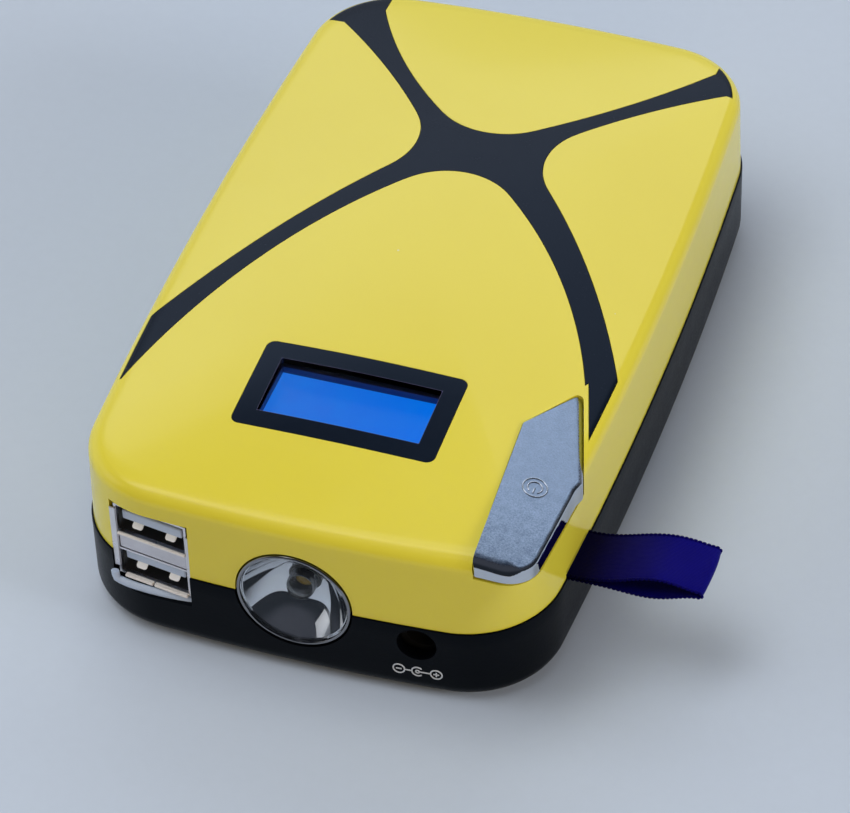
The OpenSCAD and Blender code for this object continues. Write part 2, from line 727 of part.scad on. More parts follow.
module torch_led() {
    color("lightyellow") at_torch() rotate_extrude($fn = 48) polygon(concat(
        [[0, bowl_d + 0.4], [led_r + 0.1, bowl_d + 0.4]],
        [[led_r + 0.1, bowl_d - 0.4], [led_r - 0.1, bowl_d - 0.4]],
        [for (a = [0:15:90]) [(led_r - 0.1) * cos(a), bowl_d - 1.9 - (led_r - 0.1) * sin(a)]]));
}

module torch_board() {
    color("white") at_torch() translate([-7, -7, bowl_d + 0.42]) cube([14, 13, 1.2]);
}

// ---- charger inlet ----

jack_y = front_y + 3.6;
module inlet_jack() {
    color([0.1, 0.1, 0.11]) difference() {
        union() {
            translate([inlet_x - 4.5, jack_y, inlet_z - 5.2]) cube([9, 13, 10.4]);
            translate([inlet_x - 6.6, jack_y + 5.5, main_top + seat]) cube([13.2, 6, 1.2]);
        }
        translate([inlet_x, jack_y + 9.6, inlet_z]) rotate([90, 0, 0])
            cylinder(r = inlet_bore_r, h = 20, $fn = 64);
    }
}

module inlet_pin() {
    color("silver") translate([inlet_x, jack_y + 9.6, inlet_z]) rotate([90, 0, 0])
        cylinder(r = inlet_pin_r, h = inlet_pin_l, $fn = 48);
}

// ---- jump socket and its cover ----

socket_y = recess_y - socket_d;
tube_r = contact_bore_r + contact_wall;
module jump_socket() {
    color([0.05, 0.2, 0.75]) difference() {
        translate([-socket_w / 2, socket_y, socket_z - socket_h / 2]) cube([socket_w, socket_d, socket_h]);
        for (s = [-1, 1]) translate([s * contact_pitch / 2, recess_y + 5, socket_z]) rotate([90, 0, 0])
            cylinder(r = tube_r + 0.01, h = socket_d + 10, $fn = 64);
    }
}

module jump_contacts() {
    color("gold") for (s = [-1, 1]) translate([s * contact_pitch / 2, recess_y - 1, socket_z])
        rotate([90, 0, 0]) difference() {
            union() {
                cylinder(r = tube_r, h = socket_d - 1, $fn = 64);
                cylinder(r = tube_r - 0.6, h = socket_d + 1, $fn = 64);
            }
            translate([0, 0, -1]) cylinder(r = contact_bore_r, h = socket_d - 1.5, $fn = 64);
        }
}

module socket_cover() {
    z0 = socket_z - cover_h / 2;
    color([0.1, 0.1, 0.11]) difference() {
        union() {
            translate([pin_x + knuckle_r - 0.4, rear_y - 0.5 - cover_t, z0])
                cube([cover_w - knuckle_r - 0.6, cover_t, cover_h]);
            translate([pin_x, pin_y, z0]) cylinder(r = knuckle_r, h = cover_h, $fn = 48);
            for (i = [0:2]) translate([cover_w / 2 - 5 + i * 1.6, rear_y - 0.51, socket_z - 4])
                cube([0.7, 0.35, 8]);
        }
        translate([pin_x, pin_y, z0 - 1]) cylinder(r = hinge_pin_r + 0.08, h = cover_h + 2, $fn = 32);
        translate([cover_w / 2 - 1.6, rear_y - 3, socket_z - 3.5]) cube([5, 1.35, 7]);
    }
}

module cover_pin() {
    color("silver") translate([pin_x, pin_y, socket_z - cover_h / 2 - 2.2])
        cylinder(r = hinge_pin_r, h = cover_h + 4.4, $fn = 32);
}

// ---- battery ----

cell_front = front_y + 40;
cell_w = 2 * (screw_x - boss_r - 2);
cell_l = socket_y - lead_room - cell_front;
cell_z = plinth_h + floor_t + foam_t;
stack_top = body_h - head_room;
cell_t = (stack_top - cell_z - 2 * foam_t) / 3;
cell_step = cell_t + foam_t;

module cell(i) {
    z = cell_z + i * cell_step;
    color("gainsboro") {
        translate([-cell_w / 2, cell_front, z]) rotate([90, 0, 90]) linear_extrude(cell_w)
            polygon([[0, 0.6], [0.8, 0], [cell_l - 0.8, 0], [cell_l, 0.6], [cell_l, cell_t - 0.6],
                [cell_l - 0.8, cell_t], [0.8, cell_t], [0, cell_t - 0.6]]);
        translate([-cell_w / 2 + 2, cell_front - 4.5, z + cell_t / 2 - 0.3]) cube([cell_w - 4, 5, 0.6]);
    }
}
module battery_cell_1() { cell(0); }
module battery_cell_2() { cell(1); }
module battery_cell_3() { cell(2); }

module foam_pads() {
    color("dimgray") for (i = [0:2])
        translate([-cell_w / 2 + 3, cell_front + 3, cell_z + i * cell_step - foam_t + seat])
            cube([cell_w - 6, cell_l - 6, foam_t - 2 * seat]);
}

module cell_tabs() {
    color("silver") for (i = [0:2], x = [-14, 14])
        translate([x - 4, protect_y + board_t + seat, cell_z + i * cell_step + cell_t / 2 + 0.3 + seat])
            cube([8, cell_front - protect_y - board_t - 0.6, 0.2]);
}

protect_z = plinth_h + floor_t + 0.1;
protect_top = stack_top - 1.4;
module protection_board() {
    w = cell_w - 4;
    color("darkgreen") {
        translate([-w / 2, protect_y, protect_z]) cube([w, board_t, protect_top - protect_z]);
        for (x = [-2, -1, 1, 2] * w / 6) translate([x - 2.2, protect_y - 0.9, protect_top - 8])
            cube([4.4, 1, 5]);
    }
}

// A round lead swept along points, with a ring square to the way at each point
function lead_dir(p, i) = let(n = len(p) - 1, d = i == 0 ? p[1] - p[0] : i == n ? p[n] - p[n - 1]
    : (p[i + 1] - p[i]) / norm(p[i + 1] - p[i]) + (p[i] - p[i - 1]) / norm(p[i] - p[i - 1])) d / norm(d);
module sweep(path, r, sides = 8) {
    loft([for (i = [0:len(path) - 1]) let(d = lead_dir(path, i),
        u = cross(d, [0, 0.6, 1]) / norm(cross(d, [0, 0.6, 1])), v = cross(d, u))
        [for (a = [0:360 / sides:359]) path[i] + r * (cos(a) * u + sin(a) * v)]]);
}

lead_z = stack_top + lead_r + clear;
lead_x = cell_w / 2 - 5;
end_y = cell_front + cell_l;
function lead_path(s) = [[s * lead_x, protect_y + 0.8, protect_top + 0.1],
    [s * lead_x, protect_y + 1, lead_z - 2], [s * lead_x, protect_y + 3.5, lead_z],
    [s * lead_x, end_y - 8, lead_z], [s * (lead_x - 3), end_y - 1, lead_z],
    [s * (lead_x - 8), end_y + 2.7, lead_z - 0.6], [s * (contact_pitch / 2 + 5), end_y + 3.4, lead_z - 4.5],
    [s * contact_pitch / 2, end_y + 3.4, socket_z + 2.8], [s * contact_pitch / 2, end_y + 4.4, socket_z],
    [s * contact_pitch / 2, socket_y - 2 - seat, socket_z]];
module lead_positive() { color("red") sweep(lead_path(1), lead_r); }
module lead_negative() { color([0.1, 0.1, 0.1]) sweep(lead_path(-1), lead_r); }

// ---- ribbon loop ----

// Middle line of the ribbon outside the case: out along the top, round the fold and back
strap_x = side_x - side_bow * (strap_y / rear_y) ^ 2 + 0.5;   // just outside the wall
loop_h = 3.2;
fold_r = 0.7;
strand = strap_t / 2 + 0.03;
function strap_rise(u) = 2.2 * sin(90 * u) ^ 2;
function strap_open(u) = strand + (loop_h / 2 - strand) * sin(180 * u ^ 1.4) ^ 1.5
    + (fold_r - strand) * u ^ 3;
function strap_point(u, s) =
    [strap_x + (strap_out - fold_r) * u, seam_z + strap_rise(u) + s * strap_open(u)];
strap_mid = let(n = 14, last = [strap_x + strap_out - fold_r, seam_z + strap_rise(1)]) concat(
    [for (i = [0:n]) strap_point(i / n, 1)],
    [for (a = [60:-30:-60]) last + fold_r * [cos(a), sin(a)]],
    [for (i = [n:-1:0]) strap_point(i / n, -1)]);

// A strip of thickness t along a line of points
module strip(line, t) {
    n = len(line) - 1;
    side = [for (i = [0:n]) let(d = line[min(i + 1, n)] - line[max(i - 1, 0)])
        [-d.y, d.x] * t / 2 / norm(d)];
    polygon(concat([for (i = [0:n]) line[i] + side[i]], [for (i = [n:-1:0]) line[i] - side[i]]));
}

module strap() {
    color("midnightblue") translate([0, strap_y + strap_w / 2, 0]) rotate([90, 0, 0])
        linear_extrude(strap_w) strip(strap_mid, strap_t);
}

tail_mid = let(r = bar_r + 0.1 + strap_t / 2, out = strap_x - 0.25, near = bar_x + 2.3) concat(
    [[out, seam_z + strand], [near, seam_z + strand]],
    [for (a = [75:15:285]) [bar_x, seam_z] + r * [cos(a), sin(a)]],
    [[near, seam_z - strand], [out, seam_z - strand]]);

module strap_tail() {
    color("midnightblue") translate([0, strap_y + strap_w / 2, 0]) rotate([90, 0, 0])
        linear_extrude(strap_w) strip(tail_mid, strap_t);
}

module strap_bar() {
    color("silver") translate([bar_x, strap_y + bar_l / 2, seam_z]) rotate([90, 0, 0])
        cylinder(r = bar_r, h = bar_l, $fn = 32);
}

lower_shell();
upper_shell();
x_inlay();
lcd_lens();
lcd_bezel();
lcd_panel();
lcd_backlight();
lcd_board();
main_board();
board_parts();
board_screws();
usb_shell();
usb_core();
usb_contacts();
torch_reflector();
torch_lens();
torch_led();
torch_board();
inlet_jack();
inlet_pin();
power_button();
button_switch();
switch_plunger();
button_board();
jump_socket();
jump_contacts();
socket_cover();
cover_pin();
battery_cell_1();
battery_cell_2();
battery_cell_3();
foam_pads();
cell_tabs();
protection_board();
lead_positive();
lead_negative();
case_screws();
strap();
strap_tail();
strap_bar();
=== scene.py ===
import json
from math import acos, asin, atan2, cos, degrees, pi, radians, sin, sqrt, tan

import bmesh
import bpy
import numpy as np
from mathutils import Matrix, Vector
from mathutils.bvhtree import BVHTree


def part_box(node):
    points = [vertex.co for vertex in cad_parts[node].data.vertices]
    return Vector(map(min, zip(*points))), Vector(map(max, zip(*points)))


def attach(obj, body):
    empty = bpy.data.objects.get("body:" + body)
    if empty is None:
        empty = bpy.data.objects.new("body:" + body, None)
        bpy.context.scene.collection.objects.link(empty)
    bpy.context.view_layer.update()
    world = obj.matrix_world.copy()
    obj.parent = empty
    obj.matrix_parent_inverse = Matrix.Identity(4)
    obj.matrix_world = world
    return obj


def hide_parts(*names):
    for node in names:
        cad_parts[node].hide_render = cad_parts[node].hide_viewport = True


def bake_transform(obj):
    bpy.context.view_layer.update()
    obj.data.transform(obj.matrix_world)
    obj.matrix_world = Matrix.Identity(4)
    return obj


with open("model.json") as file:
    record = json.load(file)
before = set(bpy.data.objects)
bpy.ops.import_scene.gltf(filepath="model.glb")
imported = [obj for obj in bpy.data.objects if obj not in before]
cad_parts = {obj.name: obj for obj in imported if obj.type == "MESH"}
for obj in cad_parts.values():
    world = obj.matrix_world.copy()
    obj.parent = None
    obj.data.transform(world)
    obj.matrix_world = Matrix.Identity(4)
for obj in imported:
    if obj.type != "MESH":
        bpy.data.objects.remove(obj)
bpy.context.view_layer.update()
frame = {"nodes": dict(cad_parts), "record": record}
scene = bpy.context.scene
mm = 0.001  # shapes are worked out in millimetres
print("frame loaded")


camera = {"place": (0.18008, -0.49364, 0.49061), "turn": (46.8256, 1.7953, 18.6844),
          "lens": 175.61, "shift": (0.0106, -0.0067)}
floor = {"size": 5.0, "colour": (0.58, 0.655, 0.76)}
cool = (0.97, 0.98, 1.0)
lamps = [  # name, place, size, watts, colour, seen in gloss
    ("backSoftbox", (-0.30, 1.30, 1.13), (1.45, 0.62), 4.5, (0.93, 0.97, 1.0), True),
    ("overStrip", (-0.40, 0.25, 1.50), (1.6, 0.5), 4.4, cool, True),
    ("overhead", (-0.50, -0.20, 1.50), (1.5, 1.0), 8.8, cool, False),
    ("leftWindow", (-1.50, -0.45, 0.75), (0.9, 0.8), 5.4, cool, False),
    ("frontFill", (0.90, -1.55, 0.60), (0.9, 0.5), 6.7, (1.0, 0.74, 0.42), False),
    ("rightFill", (1.45, -0.15, 0.50), (0.5, 0.5), 9.7, (0.97, 0.97, 1.0), False),
    ("leftStrip", (-1.35, -0.55, 0.55), (0.55, 0.8), 0.75, cool, True),
    ("rightStrip", (1.30, -0.75, 0.55), (0.2, 0.5), 0.4, cool, False),
]
room = {"bright": (0.60, 0.64, 0.70), "dark": (0.020, 0.024, 0.031), "above": (0.055, 0.06, 0.075),
        "brightSide": (-0.55, 0.83, 0.0), "edge": (0.1, 0.6), "turn": (0.42, 0.66)}


def newItem(name, data):
    item = bpy.data.objects.new(name, data)
    scene.collection.objects.link(item)
    return item


def setCamera():
    data = bpy.data.cameras.new("camera")
    item = newItem("camera", data)
    item.location = camera["place"]
    item.rotation_euler = [radians(a) for a in camera["turn"]]
    data.sensor_fit = "HORIZONTAL"
    data.sensor_width = 36
    data.lens = camera["lens"]
    data.shift_x, data.shift_y = camera["shift"]
    data.clip_start = 0.05
    data.dof.use_dof = False
    scene.camera = item


def setLamps():
    target = Vector((0, 0, 0.02))
    for name, place, size, power, colour, inGloss in lamps:
        data = bpy.data.lights.new(name, "AREA")
        data.shape = "RECTANGLE"
        data.size, data.size_y = size
        data.energy = power
        data.color = colour
        item = newItem(name, data)
        item.location = place
        item.rotation_euler = (target - Vector(place)).to_track_quat("-Z", "Y").to_euler()
        item.visible_camera = False
        item.visible_glossy = item.visible_transmission = inGloss


# node trees, for materials and for patterns of geometry

class Tree:
    def __init__(self, tree):
        self.nodes = tree.nodes
        self.links = tree.links

    def feed(self, socket, value):
        if isinstance(value, bpy.types.NodeSocket):
            self.links.new(value, socket)
        elif socket.type == "RGBA" and len(value) == 3:
            socket.default_value = (*value, 1)
        else:
            socket.default_value = value

    def add(self, kind, inputs=None, **values):
        node = self.nodes.new(kind)
        for key, value in values.items():
            setattr(node, key, value)
        for key, value in (inputs or {}).items():
            self.feed(node.inputs[key], value)
        return node

    def mix(self, factor, a, b, blend="MIX"):
        return self.add("ShaderNodeMix", {0: factor, 6: a, 7: b}, data_type="RGBA", blend_type=blend).outputs[2]

    def math(self, operation, a, b=0.5):
        return self.add("ShaderNodeMath", {0: a, 1: b}, operation=operation).outputs[0]

    def times(self, a, b):
        return self.math("MULTIPLY", a, b)

    def plus(self, a, b):
        return self.math("ADD", a, b)

    def remap(self, value, low, high, newLow=0.0, newHigh=1.0):
        return self.add("ShaderNodeMapRange", {0: value, 1: low, 2: high, 3: newLow, 4: newHigh}).outputs[0]

    def spot(self):
        return self.add("ShaderNodeTexCoord").outputs["Object"]

    def apart(self, vector=None):
        # a vector's x, y and z; without one, those of the point on the piece
        return self.add("ShaderNodeSeparateXYZ", {0: vector or self.spot()}).outputs

    def vector(self, x, y, z):
        return self.add("ShaderNodeCombineXYZ", {0: x, 1: y, 2: z}).outputs[0]

    def noise(self, scale, detail, rough=0.5, place=None):
        return self.add("ShaderNodeTexNoise", {"Vector": place or self.spot(), "Scale": scale, "Detail": detail,
                                               "Roughness": rough}).outputs[0]

    def shape(self, kind, inputs=None, **values):
        return self.add("GeometryNode" + kind, inputs, **values).outputs[0]


def newTree(name, numbers, outputs=()):
    # a group of shader nodes, or where no outputs are named, a pattern of geometry
    tree = bpy.data.node_groups.new(name, "ShaderNodeTree" if outputs else "GeometryNodeTree")

    def socket(label, way, kind="Float"):
        return tree.interface.new_socket(label, in_out=way, socket_type="NodeSocket" + kind)

    if not outputs:
        socket("Geometry", "INPUT", "Geometry")
    for label, value in numbers.items():
        socket(label, "INPUT").default_value = value
    if not outputs:
        socket("Finish", "INPUT", "Material")
        socket("Geometry", "OUTPUT", "Geometry")
    for label in outputs:
        socket(label, "OUTPUT")
    t = Tree(tree)
    return tree, t, t.add("NodeGroupInput").outputs, t.add("NodeGroupOutput").inputs


def makeGrain():
    # fine moulded or blasted texture: Height for a bump, Tone for a slight change of colour
    tree, t, enter, leave = newTree("fineGrain", {"Scale": 2500.0, "Depth": 1.0}, ["Height", "Tone"])
    fine = t.noise(enter["Scale"], 3.0, 0.6)
    broad = t.noise(t.times(enter["Scale"], 0.18), 2.0)
    t.feed(leave["Height"], t.times(fine, enter["Depth"]))
    t.feed(leave["Tone"], t.plus(t.times(fine, 0.7), t.times(broad, 0.3)))
    return tree


def makeMottle():
    # slow change over the surface, from 0 to 1
    tree, t, enter, leave = newTree("softMottle", {"Scale": 30.0, "Low": 0.35, "High": 0.65}, ["Mask"])
    t.feed(leave["Mask"], t.remap(t.noise(enter["Scale"], 4.0), enter["Low"], enter["High"]))
    return tree


def makeDust():
    # sparse specks, 1 on a speck
    tree, t, enter, leave = newTree("dustSpecks", {"Scale": 260.0, "Size": 0.09, "Share": 0.12}, ["Mask"])
    cells = t.add("ShaderNodeTexVoronoi", {"Vector": t.spot(), "Scale": enter["Scale"]}).outputs
    pick = t.add("ShaderNodeSeparateColor", {0: cells["Color"]}).outputs[0]
    near = t.math("LESS_THAN", cells["Distance"], enter["Size"])
    t.feed(leave["Mask"], t.times(near, t.math("LESS_THAN", pick, enter["Share"])))
    return tree


def makeScuffs():
    # hairline scuffs from stretched noise, 1 on a line
    tree, t, enter, leave = newTree("hairScuffs", {"Scale": 60.0, "Amount": 0.5}, ["Mask"])
    turned = t.add("ShaderNodeMapping", {"Vector": t.spot(), "Rotation": (0.3, 0.2, 0.7),
                                         "Scale": (1.0, 14.0, 4.0)}).outputs[0]
    line = t.remap(t.noise(enter["Scale"], 6.0, 0.7, turned), 0.66, 0.72)
    t.feed(leave["Mask"], t.times(line, enter["Amount"]))
    return tree


effects = {"grain": makeGrain(), "mottle": makeMottle(), "dust": makeDust(), "scuffs": makeScuffs()}


def effect(t, kind, **values):
    return t.add("ShaderNodeGroup", values, node_tree=effects[kind]).outputs


def newMaterial(name):
    material = bpy.data.materials.new(name)
    material.use_nodes = True
    return material, Tree(material.node_tree), material.node_tree.nodes["Principled BSDF"]


def setShader(t, shader, **values):
    # keyword names are the shader's socket names without spaces
    sockets = {s.name.replace(" ", ""): s for s in shader.inputs}
    for key, value in values.items():
        t.feed(sockets[key], value)


def bump(t, shader, height, strength, distance=0.0001):
    node = t.add("ShaderNodeBump", {"Height": height, "Strength": strength, "Distance": distance})
    t.feed(shader.inputs["Normal"], node.outputs[0])


def plastic(name, colour, second, rough, grainScale=2600, grainDepth=0.15, coat=0.0, coatRough=0.06,
            specular=0.5, tint=(1.0, 1.0, 1.0), dustShare=0.0, scuffAmount=0.0, dustColour=(0.5, 0.5, 0.5)):
    # moulded plastic: two near tones, a fine grain in the bump and the roughness, dust and scuffs if asked
    material, t, shader = newMaterial(name)
    grain = effect(t, "grain", Scale=grainScale)
    tone = t.mix(effect(t, "mottle", Scale=26.0)[0], colour, second)
    roughness = t.remap(grain["Tone"], 0.3, 0.7, rough * 0.86, rough * 1.14)
    if dustShare:
        tone = t.mix(t.times(effect(t, "dust", Share=dustShare)[0], 0.8), tone, dustColour)
    if scuffAmount:
        roughness = t.plus(roughness, t.times(effect(t, "scuffs", Amount=scuffAmount)[0], 0.25))
    setShader(t, shader, BaseColor=tone, Roughness=roughness, SpecularIORLevel=specular, SpecularTint=tint,
              CoatWeight=coat, CoatRoughness=coatRough)
    bump(t, shader, grain["Height"], grainDepth)
    return material


def metal(name, colour, second, rough, grainScale=900, grainDepth=0.05, scuffAmount=0.3):
    material, t, shader = newMaterial(name)
    grain = effect(t, "grain", Scale=grainScale)
    scuffs = effect(t, "scuffs", Scale=160.0, Amount=scuffAmount)[0]
    roughness = t.plus(t.remap(grain["Tone"], 0.3, 0.7, rough * 0.7, rough * 1.3), t.times(scuffs, 0.15))
    setShader(t, shader, BaseColor=t.mix(effect(t, "mottle", Scale=140.0)[0], colour, second), Metallic=1.0,
              Roughness=roughness)
    bump(t, shader, grain["Height"], grainDepth)
    return material


def glass(name, colour, rough=0.02, ior=1.49):
    material, t, shader = newMaterial(name)
    mottle = effect(t, "mottle", Scale=40.0)[0]
    setShader(t, shader, BaseColor=t.mix(mottle, colour, tuple(c * 0.97 for c in colour)),
              Roughness=t.remap(mottle, 0, 1, rough, rough * 1.6), TransmissionWeight=1.0, IOR=ior)
    return material


display = {"left": (0.018, 0.150, 0.64), "right": (0.0, 0.150, 0.74), "blotch": (0.004, 0.170, 0.68),
           "unlit": ((0.004, 0.02, 0.11), (0.006, 0.03, 0.13)), "reach": 0.012}


def displayFinish():
    # the lit screen: bluer to the right, with faint blotches
    material, t, shader = newMaterial("displayBlue")
    across = t.remap(t.apart()[0], -display["reach"], display["reach"])
    blotches = effect(t, "mottle", Scale=260.0, Low=0.42, High=0.75)[0]
    lit = t.mix(t.times(blotches, 0.45), t.mix(across, display["left"], display["right"]), display["blotch"])
    setShader(t, shader, BaseColor=t.mix(blotches, *display["unlit"]), Roughness=0.35, SpecularIORLevel=0.12,
              EmissionColor=lit, EmissionStrength=1.0)
    return material


def newPiece(name, points, faces, material=None, smoothAngle=32):
    mesh = bpy.data.meshes.new(name)
    mesh.from_pydata([tuple(p) for p in np.asarray(points, float) * mm], [], faces)
    mesh.validate()
    mesh.update()
    if material:
        mesh.materials.append(material)
    return smooth(newItem(name, mesh), smoothAngle)


def smooth(item, angle=32):
    item.data.shade_smooth()
    item.data.set_sharp_from_angle(angle=radians(angle))
    return item


def finished(item, finish):
    item.data.materials.clear()
    item.data.materials.append(finish)
    return item


def applyModifiers(item):
    bpy.context.view_layer.update()
    evaluated = item.evaluated_get(bpy.context.evaluated_depsgraph_get())
    mesh = bpy.data.meshes.new_from_object(evaluated)
    item.modifiers.clear()
    old, item.data = item.data, mesh
    mesh.name = item.name
    bpy.data.meshes.remove(old)
    return item


def combine(item, tool, operation="DIFFERENCE"):
    modifier = item.modifiers.new("combine", "BOOLEAN")
    modifier.operation = operation
    modifier.solver = "MANIFOLD"
    modifier.object = tool
    applyModifiers(item)
    bpy.data.objects.remove(tool)
    return item


def bevelled(item, width, segments):
    modifier = item.modifiers.new("edge", "BEVEL")
    modifier.width = width * mm
    modifier.segments = segments
    modifier.limit_method = "ANGLE"
    modifier.angle_limit = radians(30)
    modifier.harden_normals = True
    return applyModifiers(item)


def cleaned(item, near, slivers=False, fill=False, outward=False):
    # corners closer than near (in metres) become one
    maker = bmesh.new()
    maker.from_mesh(item.data)
    bmesh.ops.remove_doubles(maker, verts=maker.verts, dist=near)
    if slivers:
        bmesh.ops.dissolve_degenerate(maker, edges=maker.edges, dist=near)
    if fill:
        bmesh.ops.holes_fill(maker, edges=[e for e in maker.edges if e.is_boundary], sides=0)
    if outward:
        bmesh.ops.recalc_face_normals(maker, faces=maker.faces)
    maker.to_mesh(item.data)
    maker.free()
    return item


def turnOutward(item):
    return cleaned(item, 1e-7, outward=True)


def closeSlivers(item):
    return cleaned(item, 2e-6, slivers=True, fill=True)


def unit(v):
    return v / (np.linalg.norm(v) if v.ndim == 1 else np.linalg.norm(v, axis=1)[:, None])


def raised(outline, z):
    # a flat outline at one height, or at a height for each point
    return np.column_stack([outline, z + np.zeros(len(outline))])


def areaOf(outline):
    return np.cross(outline, np.roll(outline, -1, 0)).sum()


def bands(levels, count, closed=False):
    # faces between rings of count points each
    faces = []
    for k in range(levels if closed else levels - 1):
        low, high = k * count, (k + 1) % levels * count
        for i in range(count):
            j = (i + 1) % count
            faces.append((low + i, low + j, high + j, high + i))
    return faces


def loft(name, rings, material=None, closed=False, smoothAngle=32):
    # a skin through rings that run anticlockwise seen from above; both ends are closed, or joined
    count, levels = len(rings[0]), len(rings)
    faces = bands(levels, count, closed)
    if not closed:
        faces.append(tuple(range(count - 1, -1, -1)))
        faces.append(tuple((levels - 1) * count + i for i in range(count)))
    return newPiece(name, np.concatenate(rings), faces, material, smoothAngle)


def prism(name, outline, z0, z1):
    outline = np.asarray(outline, float)
    if areaOf(outline) < 0:
        outline = outline[::-1]
    return loft(name, [raised(outline, z) for z in (z0, z1)])


def block(name, low, high, material=None):
    (x0, y0, z0), (x1, y1, z1) = low, high
    corners = [(x0, y0), (x1, y0), (x1, y1), (x0, y1)]
    return loft(name, [raised(corners, z) for z in (z0, z1)], material)


def revolve(name, profile, steps, place, axis, material=None, smoothAngle=32):
    # profile is (radius, way along the axis); the axis is a unit vector
    axis = np.asarray(axis, float)
    side = unit(np.cross(axis, (0, 0, 1))) if abs(axis[2]) < 0.9 else np.array((1.0, 0, 0))
    other = np.cross(axis, side)
    turns = np.linspace(0, 2 * pi, steps, endpoint=False)
    points = [np.asarray(place) + axis * way + radius * (cos(a) * side + sin(a) * other)
              for radius, way in profile for a in turns]
    item = newPiece(name, points, bands(len(profile), steps), material, smoothAngle)
    return smooth(cleaned(item, 2e-6, fill=True, outward=True), smoothAngle)


def rod(name, radius, start, end, material=None, steps=48):
    start, end = np.asarray(start, float), np.asarray(end, float)
    length = np.linalg.norm(end - start)
    return revolve(name, [(0, 0), (radius, 0), (radius, length), (0, length)], steps, start,
                   (end - start) / length, material)


def sweep(name, path, radius, closed=False, sides=10, material=None, squash=1.0):
    # a round bead along a path; squash flattens it across its second direction
    path = np.asarray(path, float)
    ahead = np.roll(path, -1, 0) - np.roll(path, 1, 0)
    if not closed:
        ahead[0], ahead[-1] = path[1] - path[0], path[-1] - path[-2]
    ahead = unit(ahead)
    side = unit(np.cross(ahead, (0.03, 0.04, 1.0) if abs(ahead[:, 2]).mean() < 0.5 else (0.03, 1.0, 0.04)))
    turns = np.linspace(0, 2 * pi, sides, endpoint=False)
    rings = [p + radius * (np.cos(turns)[:, None] * u + squash * np.sin(turns)[:, None] * v)
             for p, u, v in zip(path, side, np.cross(side, ahead))]
    return turnOutward(loft(name, rings, material, closed, 60))


def joined(name, items, finish):
    # several pieces made into one, with their normals kept
    whole = items[0]
    for item in items:
        item.data.materials.clear()
    with bpy.context.temp_override(active_object=whole, selected_objects=items, selected_editable_objects=items):
        bpy.ops.object.join()
    whole.name = whole.data.name = name
    return finished(whole, finish)


def place(item, body, slot, *nodes):
    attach(item, body)
    if nodes:
        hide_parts(*nodes)


# the form of the case

shellLow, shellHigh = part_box("lower_shell")
case = {"length": (shellHigh.y - shellLow.y) / mm, "width": (shellHigh.x - shellLow.x) / mm,
        "height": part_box("upper_shell")[1].z / mm, "seam": 15.5, "cornerRadius": 16.0, "endBow": 2.4,
        "sideBow": 2.6, "crown": 3.3, "draft": 0.3, "step": 0.3, "wall": 2.0, "plinth": 0.3, "shoulder": 2.7,
        "bottom": 3.2, "buttonCorner": 6.0}
frontY, rearY, sideX = -case["length"] / 2, case["length"] / 2, case["width"] / 2
shoulderZ = case["height"] - case["crown"] - case["shoulder"]
shoulderIn = case["draft"] + case["step"]
topIn = shoulderIn + case["shoulder"] * 0.95
fineSteps, roughSteps = (22, 22, 34), (8, 10, 8)
above = 60.0  # well over the case, where cutting tools end


def arcRadius(half, rise):
    return (half * half + rise * rise) / (2 * rise)


def onArc(centre, radius, angles):
    return np.column_stack([centre[0] + radius * np.cos(angles), centre[1] + radius * np.sin(angles)])


def arcBetween(centre, radius, p, q, steps):
    start, end = atan2(*(p - centre)[::-1]), atan2(*(q - centre)[::-1])
    turn = (end - start + pi) % (2 * pi) - pi
    return onArc(centre, radius, start + turn * np.linspace(0, 1, steps))


def quarter(inset, radius, steps):
    # a quarter of the case's plan, front middle to right middle: bowed end, corner arc, bowed side
    w, h = sideX - inset, -frontY - inset
    endR, sideR = arcRadius(w, case["endBow"]), arcRadius(h, case["sideBow"])
    endC, sideC = np.array((0, endR - h)), np.array((w - sideR, 0))
    gap = sideC - endC
    d = np.linalg.norm(gap)
    a = ((endR - radius) ** 2 - (sideR - radius) ** 2 + d * d) / (2 * d)
    b = sqrt((endR - radius) ** 2 - a * a)
    across = np.array((gap[1], -gap[0])) / d
    centre = endC + a * gap / d + b * across
    if not (centre[0] > 0 > centre[1]):
        centre = endC + a * gap / d - b * across
    aEnd = atan2(*(centre - endC)[::-1])
    aSide = atan2(*(centre - sideC)[::-1])
    return np.concatenate([
        onArc(endC, endR, np.linspace(-pi / 2, aEnd, steps[0] + 1)),
        onArc(centre, radius, np.linspace(aEnd, aSide, steps[1] + 1)[1:]),
        onArc(sideC, sideR, np.linspace(aSide, 0, steps[2] + 1)[1:])])


def plan(inset, nearRadius, steps=fineSteps):
    q = quarter(inset, max(case["cornerRadius"] - inset, 2), steps)
    near = quarter(inset, max(nearRadius - inset, 2), steps)
    return np.concatenate([near, q[-2::-1] * (1, -1), q[1:] * (-1, -1), q[-2:0:-1] * (-1, 1)])


def ring(inset, z, steps, nearRadius=case["cornerRadius"], s=1.0):
    # the plan at a height, shrunk by s, where it turns into an ellipse towards the middle
    p = plan(inset, nearRadius, steps)
    toEllipse = 1 / np.hypot(p[:, 0] / (sideX - inset), p[:, 1] / (-frontY - inset))
    k = s * (1 + (toEllipse - 1) * (1 - s * s))
    return raised(p * k[:, None], z)


